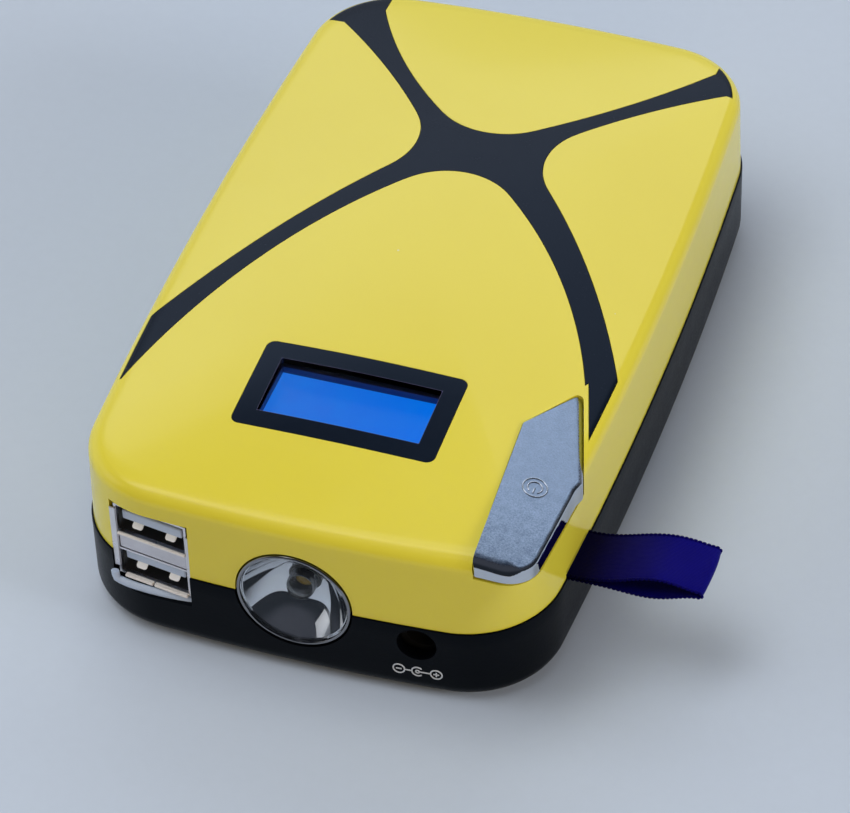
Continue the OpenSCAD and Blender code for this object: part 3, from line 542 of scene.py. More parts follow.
def upperForm(name, t=0.0, z0=case["seam"]):
    # the upper shell's outer form, or with t a rougher one that lies t inside it
    steps, near, shoulder = roughSteps if t else fineSteps, case["buttonCorner"], case["shoulder"]
    low = ring(case["step"] + t, z0, steps)
    high = ring(shoulderIn + t, shoulderZ - 0.4 * t, steps, near)
    rings = [low + (high - low) * k for k in ((0, 1) if t else np.linspace(0, 1, 9))]
    for a in ((25, 50, 75) if t else np.arange(6, 84, 6)):
        z = shoulderZ - t + shoulder * sin(radians(a)) + 0.6 * t * (1 - a / 80) * (a < 80)
        rings.append(ring(shoulderIn + t + shoulder * (1 - cos(radians(a))), z, steps, near))
    ways = (0.97, 0.85, 0.65, 0.4, 0.1) if t else (0.985, 0.96, 0.93, *np.linspace(0.9, 0.03, 30))
    for s in ways:
        rings.append(ring(topIn + t, case["height"] - case["crown"] * s * s - t, steps, near, s))
    return loft(name, rings)


def lowerForm(name, t=0.0, top=case["seam"]):
    # the lower shell's outer form, or with t a rougher one that lies t inside it
    steps, r = roughSteps if t else fineSteps, max(case["bottom"] - t, 1)
    rings = []
    for a in ((0, 30, 60, 90) if t else np.linspace(0, 90, 13)):
        rings.append(ring(t + r * (1 - sin(radians(a))) + 0.2 * (1 - a / 90),
                          case["plinth"] + t + r * (1 - cos(radians(a))), steps))
    if t:
        return loft(name, rings + [ring(t, top, steps)])
    rings += [ring(0.0, z, steps) for z in np.linspace(rings[-1][0, 2], top - 0.18, 5)[1:]]
    rings += [ring(inset, top - down, steps) for inset, down in ((0.03, 0.08), (0.1, 0.02), (0.18, 0))]
    return loft(name, rings)


def formLookup(item):
    # tree of the smooth form's triangles with a normal at each corner
    maker = bmesh.new()
    maker.from_mesh(item.data)
    bmesh.ops.triangulate(maker, faces=maker.faces)
    maker.normal_update()
    points = [v.co.copy() for v in maker.verts]
    normals = np.array([v.normal for v in maker.verts])
    triangles = [tuple(v.index for v in f.verts) for f in maker.faces]
    maker.free()
    return BVHTree.FromPolygons(points, triangles), np.array(points), normals, np.array(triangles)


def setNormals(mesh, ways, isChosen):
    # faces that are chosen take the given normals at their corners
    loops = np.zeros((len(mesh.loops), 3))
    for face in mesh.polygons:
        corners = list(face.vertices)
        if isChosen(face, ways[corners]):
            loops[face.loop_indices] = ways[corners]
    mesh.normals_split_custom_set(loops.tolist())


def copyNormals(item, lookup, near=0.03, angle=35):
    # faces that lie on the smooth form take its normals, so cuts leave no marks in the gloss
    tree, points, normals, triangles = lookup
    mesh = smooth(closeSlivers(item)).data
    ways = np.zeros((len(mesh.vertices), 3))
    for v in mesh.vertices:
        hit, _, index, distance = tree.find_nearest(v.co)
        if hit is None or distance > near * mm:
            continue
        a, b, c = triangles[index]
        u, w, q = points[b] - points[a], points[c] - points[a], np.array(hit) - points[a]
        uu, uw, ww, qu, qw = u @ u, u @ w, w @ w, q @ u, q @ w
        base = uu * ww - uw * uw
        normal = normals[a]
        if base >= 1e-22:
            kb, kc = (ww * qu - uw * qw) / base, (uu * qw - uw * qu) / base
            normal = normal * (1 - kb - kc) + normals[b] * kb + normals[c] * kc
        ways[v.index] = normal / (np.linalg.norm(normal) + 1e-12)
    limit = cos(radians(angle))
    setNormals(mesh, ways, lambda face, corners: (corners @ np.array(face.normal)).min() > limit)


def dressed(item, finish, lookup, slot, node):
    copyNormals(finished(item, finish), lookup)
    place(item, "pack", slot, node)


cross = {"fromFront": 95.0, "tipRadius": 12.5, "gap": 0.12, "depth": 0.9}
crossY = frontY + cross["fromFront"]
frontTip, rearTip = np.array((0, crossY - 2.6)), np.array((1.2, crossY + 2.2))
armEnds = {  # each edge's end on the right, then on the left as if it were on the right: x, y and bulge
    "low": [(sideX - 2.1, crossY - 69, 7.8), (sideX - 3.4, crossY - 69.2, 5.9)],
    "high": [(sideX - 0.7, crossY - 50, 2.8), (sideX - 2.1, crossY - 54, 1.9)],
    "side": [(sideX - 5, crossY + 29, -1.4), (sideX - 7.2, crossY + 29.8, -1.4)],
    "rear": [(33.3, crossY + 34.5, 1.7), (28.4, crossY + 35, 2.7)],
}
sideTips = np.array([(8.65, crossY + 0.7), (7.25, crossY - 1.2)])


def bulge(p, q, rise, steps=60):
    half = np.linalg.norm(q - p) / 2
    u = (q - p) / (2 * half)
    v = np.array((u[1], -u[0])) * np.sign(rise)
    r = arcRadius(half, abs(rise))
    c = (p + q) / 2 - v * (r - abs(rise))
    turn = 2 * asin(half / r) * np.sign(rise)
    return onArc(c, r, atan2(p[1] - c[1], p[0] - c[0]) + turn * np.linspace(0, 1, steps + 1))


def distanceTo(line, p):
    a, b = line[:-1], line[1:]
    d = b - a
    k = np.clip(((p - a) * d).sum(1) / (d * d).sum(1), 0, 1)
    foot = a + d * k[:, None]
    gaps = np.linalg.norm(foot - p, axis=1)
    i = gaps.argmin()
    return gaps[i], foot[i], i


def roundedTip(first, second, radius):
    # two edges that meet at a tip, both given from the tip outwards: an arc of that radius joins them
    inside = second[len(second) // 2] - first[0]
    for i in range(1, len(first) - 1):
        d = first[i + 1] - first[i]
        n = unit(np.array((-d[1], d[0])))
        n = n if n @ inside >= 0 else -n
        for k in np.linspace(0, 1, 12, endpoint=False):
            p = first[i] + d * k
            gap, foot, j = distanceTo(second, p + n * radius)
            if gap >= radius:
                arc = arcBetween(p + n * radius, radius, p, foot, 25)
                return np.concatenate([first[:i:-1], arc, second[j + 1:]])


def grown(outline, d):
    # a closed outline moved out by d
    before, after = outline - np.roll(outline, 1, 0), np.roll(outline, -1, 0) - outline
    before, after = [e / (np.linalg.norm(e, axis=1)[:, None] + 1e-12) for e in (before, after)]
    m = np.column_stack([before[:, 1] + after[:, 1], -before[:, 0] - after[:, 0]]) * np.sign(areaOf(outline))
    k = np.maximum((m * m).sum(1) / 2, 0.3)
    return outline + m * d / k[:, None]


def edgeFrom(tip, end, back=True):
    # from a tip out to the end of an arm; back turns the bulge to the other side
    tip, out = np.array(tip), np.array(end[:2])
    return bulge(out, tip, end[2])[::-1] if back else bulge(tip, out, end[2])


def crossPanels(gap):
    # the four rounded panels that the cross runs between
    far, radius = 160.0, cross["tipRadius"]
    first, second = [edgeFrom(frontTip, end) for end in armEnds["low"]]
    low = armEnds["low"][0][1] - 18
    front = np.concatenate([[(far, -far), (far, low)], roundedTip(first, second * (-1, 1), radius),
                            [(-far, low), (-far, -far)]])
    first, second = [edgeFrom(rearTip, end, False) for end in armEnds["rear"]]
    rear = np.concatenate([[(armEnds["rear"][0][0], far)], roundedTip(first, second * (-1, 1), radius),
                           [(-armEnds["rear"][1][0], far)]])
    panels = [front, rear]
    for i, sideTip in enumerate(sideTips):
        high, side = armEnds["high"][i], armEnds["side"][i]
        tip = roundedTip(edgeFrom(sideTip, high), edgeFrom(sideTip, side, False), radius)
        panel = np.concatenate([tip, [(far, side[1] + 10), (far, high[1] - 20)]])
        panels.append(panel[::-1] * (-1, 1) if i else panel)
    return [grown(p, gap) for p in panels]


button = {"left": sideX - 11.9, "rear": (sideX - 13.4, frontY + 33.2), "tip": (sideX - 6.7, frontY + 43.8),
          "turn": (sideX - 1.1, frontY + 25.5), "thickness": 3.0, "travel": 0.4, "gap": 0.3, "seenGap": 0.15,
          "edges": (2.3, 0.7, 1.1), "satinFrom": 0.84, "cornerRadius": 0.8, "drop": 2.5, "slope": (0.22, -0.01),
          "underSlope": (0.126, 0.048), "stem": (sideX - 7.5, frontY + 19.5), "stemRadius": 1.6,
          "signAt": (34.1, frontY + 20.9), "signRadius": 1.95, "signUp": -90.0}


def sloped(p, drop, slope):
    return case["height"] - drop - slope[0] * (p[:, 0] - button["left"]) - slope[1] * (p[:, 1] - frontY)


def buttonTop(p):
    return sloped(p, button["drop"], button["slope"])


def buttonUnder(p):
    # falls more slowly to the side than the top does, and sinks towards the rear
    return sloped(p, button["drop"] + button["thickness"] + 0.2, button["underSlope"])


def cornerEdge(left):
    # the case's corner under the cap, from x = left round to the cap's turn
    p = plan(shoulderIn - 0.1, case["buttonCorner"])
    edge = p[(p[:, 0] > left) & (p[:, 1] < button["turn"][1] - 1)]
    return edge[:np.argmax(edge[:, 1]) + 1]


def buttonOutline():
    return np.concatenate([[(button["left"], frontY + 1.65)], cornerEdge(button["left"]),
                           [button["turn"], button["tip"], button["rear"]]])


def filleted(outline, radius, least=20):
    # sharp corners of an anticlockwise outline are rounded to the radius
    out = []
    for a, b, c in zip(np.roll(outline, 1, 0), outline, np.roll(outline, -1, 0)):
        u, v = unit(a - b), unit(c - b)
        turn = pi - acos(np.clip(u @ v, -1, 1))
        if degrees(turn) < least:
            out.append(b)
            continue
        cut = radius * tan(turn / 2)
        centre = b + unit(u + v) * radius / cos(turn / 2)
        out.extend(arcBetween(centre, radius, b + u * cut, b + v * cut, 9))
    return np.array(out)


def setWorld():
    world = bpy.data.worlds.new("room")
    scene.world = world
    world.use_nodes = True
    t = Tree(world.node_tree)
    back = world.node_tree.nodes["Background"].inputs
    way = t.add("ShaderNodeTexCoord").outputs["Generated"]
    up = t.remap(t.apart(way)[2], *room["turn"])
    side = t.add("ShaderNodeVectorMath", {0: way, 1: room["brightSide"]}, operation="DOT_PRODUCT").outputs["Value"]
    horizon = t.mix(t.remap(side, *room["edge"]), room["dark"], room["bright"])
    t.feed(back[0], t.mix(up, horizon, room["above"]))
    t.feed(back[1], 1.0)


def makeFloor():
    half = floor["size"] / 2 / mm
    corners = [(-half, -half, 0), (half, -half, 0), (half, half, 0), (-half, half, 0)]
    material, t, shader = newMaterial("paleTable")
    pale, shade, dark = [tuple(c * k for c in floor["colour"]) for k in (1.0, 0.96, 0.8)]
    grain = effect(t, "grain", Scale=420.0)
    base = t.mix(effect(t, "mottle", Scale=5.0, Low=0.3, High=0.7)[0], pale, shade)
    base = t.mix(t.remap(grain["Tone"], 0.35, 0.65, 0.0, 0.1), base, dark)
    setShader(t, shader, BaseColor=base, Roughness=0.55, SpecularIORLevel=0.3)
    bump(t, shader, grain["Height"], 0.05, 0.0002)
    newPiece("floor", corners, [(0, 1, 2, 3)], material)


setCamera()
setLamps()
setWorld()
makeFloor()
scene.view_settings.view_transform = "Standard"
print("camera and light set")

finishes = {  # one for each material slot of the record
    "case_yellow": plastic("glossYellow", (0.80, 0.675, 0.050), (0.82, 0.70, 0.056), 0.20, grainScale=700,
                           grainDepth=0.02, coat=0.15, coatRough=0.07, specular=0.42, dustShare=0.02,
                           scuffAmount=0.2, dustColour=(0.85, 0.8, 0.45)),
    "case_black": plastic("satinBlack", (0.0012, 0.0015, 0.0026), (0.0018, 0.0022, 0.0036), 0.34, grainScale=2200,
                          grainDepth=0.22, specular=0.09, tint=(0.65, 0.82, 1.0), dustShare=0.035,
                          scuffAmount=0.3, dustColour=(0.05, 0.055, 0.06)),
    "inlay_black": plastic("inlayBlack", (0.0036, 0.0068, 0.0120), (0.0044, 0.0082, 0.0140), 0.25, grainScale=1800,
                           grainDepth=0.04, specular=0.16, tint=(0.28, 0.46, 0.95), dustShare=0.02,
                           dustColour=(0.08, 0.09, 0.11)),
    "display_window": glass("displayWindow", (0.93, 0.96, 1.0), ior=1.05),
    "display_frame": plastic("displayFrame", (0.11, 0.10, 0.20), (0.13, 0.115, 0.23), 0.35),
    "display_blue": displayFinish(),
    "white_plastic": plastic("whitePlastic", (0.62, 0.63, 0.64), (0.66, 0.66, 0.66), 0.4),
    "board_green": plastic("solderMask", (0.012, 0.11, 0.045), (0.018, 0.14, 0.06), 0.3, coat=0.4),
    "component_grey": plastic("partGrey", (0.06, 0.06, 0.066), (0.09, 0.09, 0.095), 0.42),
    "steel": metal("brightSteel", (0.62, 0.62, 0.63), (0.70, 0.70, 0.70), 0.20),
    "ivory_plastic": plastic("portTongue", (0.50, 0.59, 0.74), (0.55, 0.64, 0.79), 0.38),
    "gold_plate": metal("goldPlate", (0.86, 0.60, 0.24), (0.90, 0.66, 0.30), 0.18),
    "reflector_chrome": metal("torchChrome", (0.80, 0.81, 0.83), (0.84, 0.85, 0.86), 0.045, grainDepth=0.01,
                              scuffAmount=0.1),
    "clear_lens": glass("clearLens", (0.98, 0.99, 1.0), ior=1.12),
    "led_dome": glass("ledDome", (0.62, 0.62, 0.59)),
    "black_plastic": plastic("blackPlastic", (0.010, 0.011, 0.013), (0.013, 0.014, 0.017), 0.33),
    "socket_blue": plastic("socketBlue", (0.006, 0.05, 0.42), (0.01, 0.07, 0.48), 0.36),
    "cover_rubber": plastic("coverRubber", (0.011, 0.012, 0.014), (0.015, 0.016, 0.018), 0.62, grainScale=3200,
                            grainDepth=0.4, specular=0.3, dustShare=0.05),
    "cell_foil": metal("cellFoil", (0.66, 0.67, 0.69), (0.74, 0.75, 0.77), 0.28, grainDepth=0.3),
    "foam_grey": plastic("foamPad", (0.05, 0.05, 0.055), (0.07, 0.07, 0.075), 0.85, grainScale=1500, grainDepth=0.8),
    "nickel": metal("nickelTab", (0.60, 0.58, 0.54), (0.68, 0.66, 0.62), 0.25),
    "lead_red": plastic("leadRed", (0.50, 0.012, 0.01), (0.56, 0.02, 0.014), 0.5),
    "lead_black": plastic("leadBlack", (0.012, 0.012, 0.012), (0.018, 0.018, 0.018), 0.5),
}

# edgeColour is a painted highlight for the window mask's inner edge and wall
window = {"width": 34.5, "depth": 19.0, "thickness": 1.2, "border": 3.45, "corner": 1.4, "gap": 0.1,
          "ledge": 1.9, "fromFront": 29.7, "edgeColour": (0.11, 0.10, 0.19)}
port = {"width": 13.4, "height": 15.6, "depth": 17.5, "x": -24.9, "z": 10.3, "back": 1.4, "turn": -9.0,
        "lipSlope": 0.6, "mouthWidth": 12.5, "mouthHeight": 5.12, "sheet": 0.35, "faceDepth": 0.7,
        "leftLip": (1.1, 0.9, 1.6), "rightLip": (0.6, 2.0, 0.3), "lipOut": (0.72, 0.42), "dividerDrop": 0.6,
        "tongueDrop": (0.5, 1.3), "tabs": (-2.5, 3.6), "tabWidth": 1.9, "tabLength": 1.25, "tabLean": 38,
        "tongue": (11.1, 1.84), "slack": (0.45, 0.2), "sillRadius": 0.55, "sillSquash": 1.36}
torch = {"radius": 9.7, "z": 15.9, "depth": 6.0, "ledRadius": 2.5, "rim": 0.6, "gap": 0.25}
inlet = {"x": 20.5, "z": 11.7, "holeRadius": 3.3}
socket = {"z": 15.0, "coverWidth": 32.0, "coverHeight": 19.0, "knuckle": 1.25, "width": 22.0, "height": 12.5,
          "recess": 2.35, "pinRadius": 0.64, "pinAt": (0.6, 1.75)}
strap = {"width": 10.5, "fromFront": 23.8, "slotHeight": 1.4, "slot": (36, 58)}
screws = {"fromSide": 7.7, "fromFront": 36, "fromRear": 18, "boss": 4.0, "well": 2.9, "headAt": 4.05}
clear = 0.3  # running clearance
windowY = frontY + window["fromFront"]
portTop = port["z"] + port["height"]
coverHalf = socket["coverWidth"] / 2
pinX, pinY = -coverHalf + socket["pinAt"][0], rearY - socket["pinAt"][1]
screwRows = (frontY + screws["fromFront"], rearY - screws["fromRear"])
screwSpots = [(side * (sideX - screws["fromSide"]), y) for side in (-1, 1) for y in screwRows]


def roundedBox(width, depth, radius, centre=(0, 0)):
    corners = []
    for x, y, start in ((1, -1, -90), (1, 1, 0), (-1, 1, 90), (-1, -1, 180)):
        c = (centre[0] + x * (width / 2 - radius), centre[1] + y * (depth / 2 - radius))
        corners.append(onArc(c, radius, np.radians(np.linspace(start, start + 90, 9))))
    return np.concatenate(corners)


def windowBox(change, corner):
    # the window's outline, larger by change on each side
    return roundedBox(window["width"] + 2 * change, window["depth"] + 2 * change, corner, (0, windowY))


def crossTool(gap):
    tool = prism("crossTool", plan(topIn - 1.2 + gap, case["buttonCorner"]), shoulderZ - 2, above)
    holes = crossPanels(gap) + [grown(buttonOutline(), button["gap"] + 0.6 + gap)]
    for hole in holes:
        combine(tool, prism("hole", hole, 0, above + 20))
    return tool


def turnPort(item):
    # from the port's own place, x from its middle and y from its mouth, to its seat in the case
    seat = Matrix.Translation(Vector((port["x"] + port["width"] / 2, frontY + port["back"], 0)) * mm)
    item.data.transform(seat @ Matrix.Rotation(radians(port["turn"]), 4, "Z")
                        @ Matrix.Translation((-port["width"] / 2 * mm, 0, 0)))
    return item


def portTool():
    half, low, slope = port["width"] / 2 + clear, port["z"] - 0.25, port["lipSlope"]
    left, right = -half - port["slack"][0], half + port["slack"][1]
    profile = [(-5, low - 1.25 - 5 * slope), (1.25 / slope, low), (9, low), (9, portTop + 2 * clear),
               (-5, portTop + 2 * clear)]
    rings = [np.array([(x, y - port["back"], z) for y, z in profile]) for x in (left, right)]
    tool = turnPort(turnOutward(loft("portTool", rings)))
    for name, radius, x, z, y0, y1, steps in (("torchHole", torch["radius"] + torch["gap"], 0, torch["z"], -11, 9, 128),
                                              ("inletHole", inlet["holeRadius"], inlet["x"], inlet["z"], -6, 6, 96)):
        combine(tool, rod(name, radius, (x, frontY + y0, z), (x, frontY + y1, z), steps=steps), "UNION")
    return tool


def rearTool():
    half, z, recess = socket["coverHeight"] / 2 + clear, socket["z"], rearY - socket["recess"]
    w, h = socket["width"] / 2 + 0.25, socket["height"] / 2 + 0.25
    tool = block("rearTool", (-coverHalf - 1.3, recess, z - half), (coverHalf + 0.3, recess + 10, z + half))
    combine(tool, block("socketHole", (-w, recess - 10, z - h), (w, recess + 2, z + h)), "UNION")
    for name, radius, long in (("knuckle", socket["knuckle"] + clear, half),
                               ("pinHole", socket["pinRadius"], half + 2.2)):
        combine(tool, rod(name, radius, (pinX, pinY, z - long), (pinX, pinY, z + long)), "UNION")
    return tool


def strapTool():
    half, y, rise = strap["width"] / 2 + clear, frontY + strap["fromFront"], strap["slotHeight"] / 2
    (x0, x1), seam = strap["slot"], case["seam"]
    return block("strapTool", (x0, y - half, seam - rise), (x1, y + half, seam + rise))


def makeUpperShell():
    item = upperForm("yellow_shell")
    lookup = formLookup(item)
    combine(item, upperForm("inside", case["wall"], case["seam"] - 1))
    combine(item, combine(crossTool(0), upperForm("grooveFloor", cross["depth"], 8)))
    seat = prism("windowSeat", windowBox(window["gap"], window["corner"] + 0.1), 28, above)
    combine(item, combine(seat, upperForm("seatFloor", window["thickness"], 8)))
    w, d = window["width"] / 2 - window["ledge"], window["depth"] / 2 - window["ledge"]
    combine(item, block("opening", (-w, windowY - d, 20), (w, windowY + d, above)))
    notch = grown(filleted(buttonOutline(), button["cornerRadius"]), button["seenGap"])
    low = buttonUnder(notch) - button["travel"] - 0.35
    combine(item, loft("notch", [raised(notch, low), raised(notch, above)]))
    for tool in (portTool(), rearTool(), strapTool()):
        combine(item, tool)
    dressed(item, finishes["case_yellow"], lookup, "case_yellow", "upper_shell")


def makeLowerShell():
    item = lowerForm("black_shell")
    lookup = formLookup(item)
    combine(item, prism("plinth", plan(case["bottom"] + 1.4, case["cornerRadius"]), 0, case["plinth"] + 1), "UNION")
    combine(item, lowerForm("inside", case["wall"], case["seam"] + 1))
    for tool in (portTool(), rearTool(), strapTool()):
        combine(item, tool)
    for x, y in screwSpots:
        combine(item, rod("boss", screws["boss"], (x, y, 2), (x, y, 9)), "UNION")
        combine(item, rod("well", screws["well"], (x, y, -1), (x, y, 5)))
    dressed(item, finishes["case_black"], lookup, "case_black", "lower_shell")


def makeInlay():
    item = upperForm("black_cross")
    lookup = formLookup(item)
    combine(item, crossTool(cross["gap"]), "INTERSECT")
    combine(item, upperForm("under", cross["depth"] - 0.02, 8))
    dressed(item, finishes["inlay_black"], lookup, "inlay_black", "x_inlay")


def makeWindow():
    mask = upperForm("window_mask")
    lookup = formLookup(mask)
    combine(mask, prism("outer", windowBox(0, window["corner"]), 20, above), "INTERSECT")
    combine(mask, upperForm("under", window["thickness"] - 0.02, 8))
    pane = newItem("window_pane", mask.data.copy())
    view = windowBox(-window["border"], 0.25)
    combine(mask, prism("view", view, 0, above + 20))
    combine(pane, prism("view", view, 0, above + 20), "INTERSECT")
    for item, finish in ((mask, maskFinish()), (pane, finishes["display_window"])):
        dressed(item, finish, lookup, "display_window", "lcd_lens")


def maskFinish():
    # the printed border, with a painted highlight on its inner edge and wall that stands in for light on the clear
    # window's edge
    material = plastic("windowMask", (0.0042, 0.0075, 0.0150), (0.0050, 0.0088, 0.0170), 0.16, grainScale=900,
                       grainDepth=0.01, specular=0.18, tint=(0.3, 0.5, 0.9), dustShare=0.06, scuffAmount=0.2,
                       dustColour=(0.2, 0.21, 0.23))
    t = Tree(material.node_tree)
    colour = material.node_tree.nodes["Principled BSDF"].inputs["Base Color"]
    x, y, _ = t.apart()
    halfW, halfD = window["width"] / 2 - window["border"], window["depth"] / 2 - window["border"]
    overX = t.math("SUBTRACT", t.math("ABSOLUTE", x), halfW * mm)
    overY = t.math("SUBTRACT", t.math("ABSOLUTE", t.math("SUBTRACT", y, windowY * mm)), halfD * mm)
    # painted highlight: a violet tone on the mask's inner edge and wall
    onPaintedHighlight = t.math("LESS_THAN", t.math("MAXIMUM", overX, overY), 0.05 * mm)
    t.feed(colour, t.mix(onPaintedHighlight, colour.links[0].from_socket, window["edgeColour"]))
    return material


def pointAttribute(item, name, values):
    layer = item.data.attributes.new(name, "FLOAT", "POINT")
    layer.data.foreach_set("value", np.asarray(values, np.float32))


def chromeFinish():
    # blasted top, mirror sides: the mask is the cap's own "satin" attribute; the satin colour carries painted glints
    # and painted shade towards the front
    material, t, shader = newMaterial("buttonChrome")
    satin = t.add("ShaderNodeAttribute", attribute_name="satin").outputs["Fac"]
    grain = effect(t, "grain", Scale=3600.0)
    mirror = t.mix(effect(t, "mottle", Scale=70.0)[0], (0.60, 0.63, 0.68), (0.66, 0.69, 0.73))
    along, start = t.apart()[1], (frontY + 4) * mm
    strength = t.remap(along, start, start + 20 * mm, 1.0, 0.45)
    # painted glints: a grain speckle in the satin colour, stronger towards the front
    paintedGlints = t.plus(0.5, t.times(strength, t.remap(grain["Tone"], 0.36, 0.66, -0.5, 0.5)))
    paintedSatin = t.mix(paintedGlints, (0.20, 0.28, 0.43), (0.50, 0.63, 0.84))
    # painted shade: the satin colour darkens towards the front of the cap
    paintedSatin = t.mix(1.0, paintedSatin, t.remap(along, start, start + 12 * mm, 0.8, 1.0), "MULTIPLY")
    roughness = t.plus(0.06, t.times(satin, t.remap(grain["Tone"], 0.3, 0.7, 0.26, 0.4)))
    setShader(t, shader, BaseColor=t.mix(satin, mirror, paintedSatin), Metallic=1.0, Roughness=roughness)
    bump(t, shader, t.times(grain["Height"], satin), 0.35)
    return material


def capEdge():
    # the cap's edge that faces out of the case, run on past both ends, with a normal at each point
    turn, tip = np.array(button["turn"]), np.array(button["tip"])
    line = np.concatenate([cornerEdge(button["left"] - 4), [turn, tip + (tip - turn) * 0.2]])
    ahead = np.diff(line, axis=0)
    out = unit(np.column_stack([ahead[:, 1], -ahead[:, 0]]))
    return line, unit(np.concatenate([out[:1], out[:-1] + out[1:], out[-1:]]))


def capTop(points, line, normals):
    # height and normal of the cap's top: a broad round at the front edge, finer ones at the sides
    front, side, rear = button["edges"]
    heights, ways = [], []
    for p, z in zip(points, buttonTop(points)):
        gap, foot, i = distanceTo(line, p)
        k = np.linalg.norm(foot - line[i]) / np.linalg.norm(line[i + 1] - line[i])
        out = normals[i] * (1 - k) + normals[i + 1] * k
        r = side + (front - side) * np.clip((-out[1] - 0.72) / 0.2, 0, 1)
        r += (rear - side) * np.clip(out[1] / 0.25, 0, 1)
        inside = gap if (p - foot) @ out < 0 else 0.0
        sine = max(1 - inside / r, 0)
        heights.append(z - r * (1 - sqrt(1 - sine * sine)))
        slope = min(sine / sqrt(1 - sine * sine + 1e-9), 60)
        ways.append(unit(np.array((*(button["slope"] + out * slope), 1.0))))
    return np.array(heights), np.array(ways)


def heightField(name, xs, ys, heightOf, low):
    # a solid on a grid with a curved top
    nx, ny = len(xs), len(ys)
    flat = np.array([(x, y) for y in ys for x in xs])
    faces, under = [], nx * ny
    for j in range(ny - 1):
        for i in range(nx - 1):
            a, b, c, d = j * nx + i, j * nx + i + 1, (j + 1) * nx + i + 1, (j + 1) * nx + i
            faces += [(a, b, c, d), (under + d, under + c, under + b, under + a)]
    around = [*range(nx), *range(2 * nx - 1, under, nx), *range(under - 2, under - nx - 1, -1),
              *range(under - 2 * nx, 0, -nx)]
    for a, b in zip(around, around[1:] + around[:1]):
        faces.append((a, under + a, under + b, b))
    return newPiece(name, np.concatenate([raised(flat, heightOf(flat)), raised(flat, low)]), faces)


def makeButton():
    chrome = chromeFinish()
    outline = filleted(buttonOutline(), button["cornerRadius"])
    line, normals = capEdge()
    xs = np.arange(button["rear"][0] - 0.5, sideX + 0.6, 0.2)
    ys = np.arange(frontY - 0.5, button["tip"][1] + 0.8, 0.25)
    item = heightField("button_cap", xs, ys, lambda p: capTop(p, line, normals)[0], 15)
    around = loft("around", [raised(outline, buttonUnder(outline)), raised(outline, above)])
    smooth(finished(combine(item, around, "INTERSECT"), chrome))
    spots = np.array([v.co for v in item.data.vertices]) / mm
    ways = capTop(spots[:, :2], line, normals)[1]

    def isTop(face, corners):
        middle, up = np.array(face.center)[:2] / mm, face.normal.z
        return up > 0.1 or (abs(up) < 0.1 and distanceTo(line, middle)[0] < 0.06)

    setNormals(item.data, ways, isTop)
    satin = (buttonTop(spots[:, :2]) - spots[:, 2] < 1.2) * np.clip((ways[:, 2] - button["satinFrom"]) / 0.05, 0, 1)
    pointAttribute(item, "satin", satin)
    place(item, "button", "button_chrome", "power_button")
    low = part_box("power_button")[0].z / mm
    stem = rod("button_stem", button["stemRadius"], (*button["stem"], low), (*button["stem"], case["height"] - 6.5),
               chrome)
    pointAttribute(stem, "satin", [0] * len(stem.data.vertices))
    place(stem, "button", "button_chrome", "power_button")
    makeButtonSign(chrome)


def makeButtonSign(chrome):
    # a plain on/off sign in low relief: ring, broken ring and stroke
    r = button["signRadius"]

    def onButton(way, radius):
        # angles in degrees from the sign's top, clockwise
        p = onArc(button["signAt"], radius, np.radians(button["signUp"] - np.asarray(way, float)))
        return raised(p, buttonTop(p))

    outer = sweep("a", onButton(np.linspace(0, 360, 72, endpoint=False), r), 0.16, closed=True, squash=0.7)
    broken = sweep("b", onButton(np.linspace(32, 328, 48), r * 0.6), 0.17, squash=0.7)
    stroke = sweep("c", np.concatenate([onButton([0], r * k) for k in np.linspace(0.1, 0.66, 6)]), 0.17, squash=0.7)
    item = joined("button_sign", [outer, broken, stroke], chrome)
    pointAttribute(item, "satin", [0.35] * len(item.data.vertices))
    place(item, "button", "button_chrome")


def bowlRadius(d):
    led = torch["ledRadius"]
    return led + 0.3 + (torch["radius"] - torch["rim"] - led) * sqrt(max(1 - d / torch["depth"], 0))


def makeTorch():
    r, deep, led = torch["radius"], torch["depth"], torch["ledRadius"] - 0.1
    rim = [(r - 0.3 + 0.3 * cos(a), 0.3 - 0.3 * sin(a)) for a in np.radians(np.linspace(0, 180, 9))]
    bowl = [(bowlRadius(d), d) for d in 1.0 + (deep - 1.0) * np.linspace(0, 1, 25) ** 0.8]
    back = [(bowlRadius(deep) + 1.1, deep), (bowlRadius(5) + 0.9, 5), (bowlRadius(3.4) + 0.9, 3.4), (r, 2.0), (r, 0.3)]
    dome = [(0, deep + 0.4), (led + 0.2, deep + 0.4), (led + 0.2, deep - 0.4), (led, deep - 0.4)]
    dome += [(led * cos(a), deep - 1.9 - led * sin(a)) for a in np.radians(np.linspace(0, 90, 15))]
    cup = [(0, deep - 0.9), (0.75, deep - 0.9), (1.35, deep - 1.7), (1.55, deep - 1.7), (1.55, deep), (0, deep)]
    chip = [(0, deep - 1.35), (0.5, deep - 1.3), (0.78, deep - 1.1), (0.72, deep - 0.91), (0, deep - 0.91)]
    dark = metal("cupSteel", (0.22, 0.22, 0.23), (0.30, 0.30, 0.31), 0.25)
    amber = plastic("amberPhosphor", (0.75, 0.42, 0.03), (0.80, 0.50, 0.06), 0.45)
    face = np.array((0, frontY + 0.15, torch["z"]))
    for name, profile, steps, finish, angle, slot, *nodes in (
            ("torch_bowl", rim + [(r - torch["rim"], 0.85), (r - 0.75, 1.0)] + bowl + back, 144, torchFinish(), 40,
             "reflector_chrome", "torch_reflector"),
            ("torch_dome", dome, 64, finishes["led_dome"], 40, "led_dome", "torch_led"),
            ("torch_cup", cup, 48, dark, 30, "steel"),
            ("torch_phosphor", chip, 32, amber, 50, "gold_plate")):
        place(revolve(name, profile, steps, face, (0, 1, 0), finish, angle), "pack", slot, *nodes)


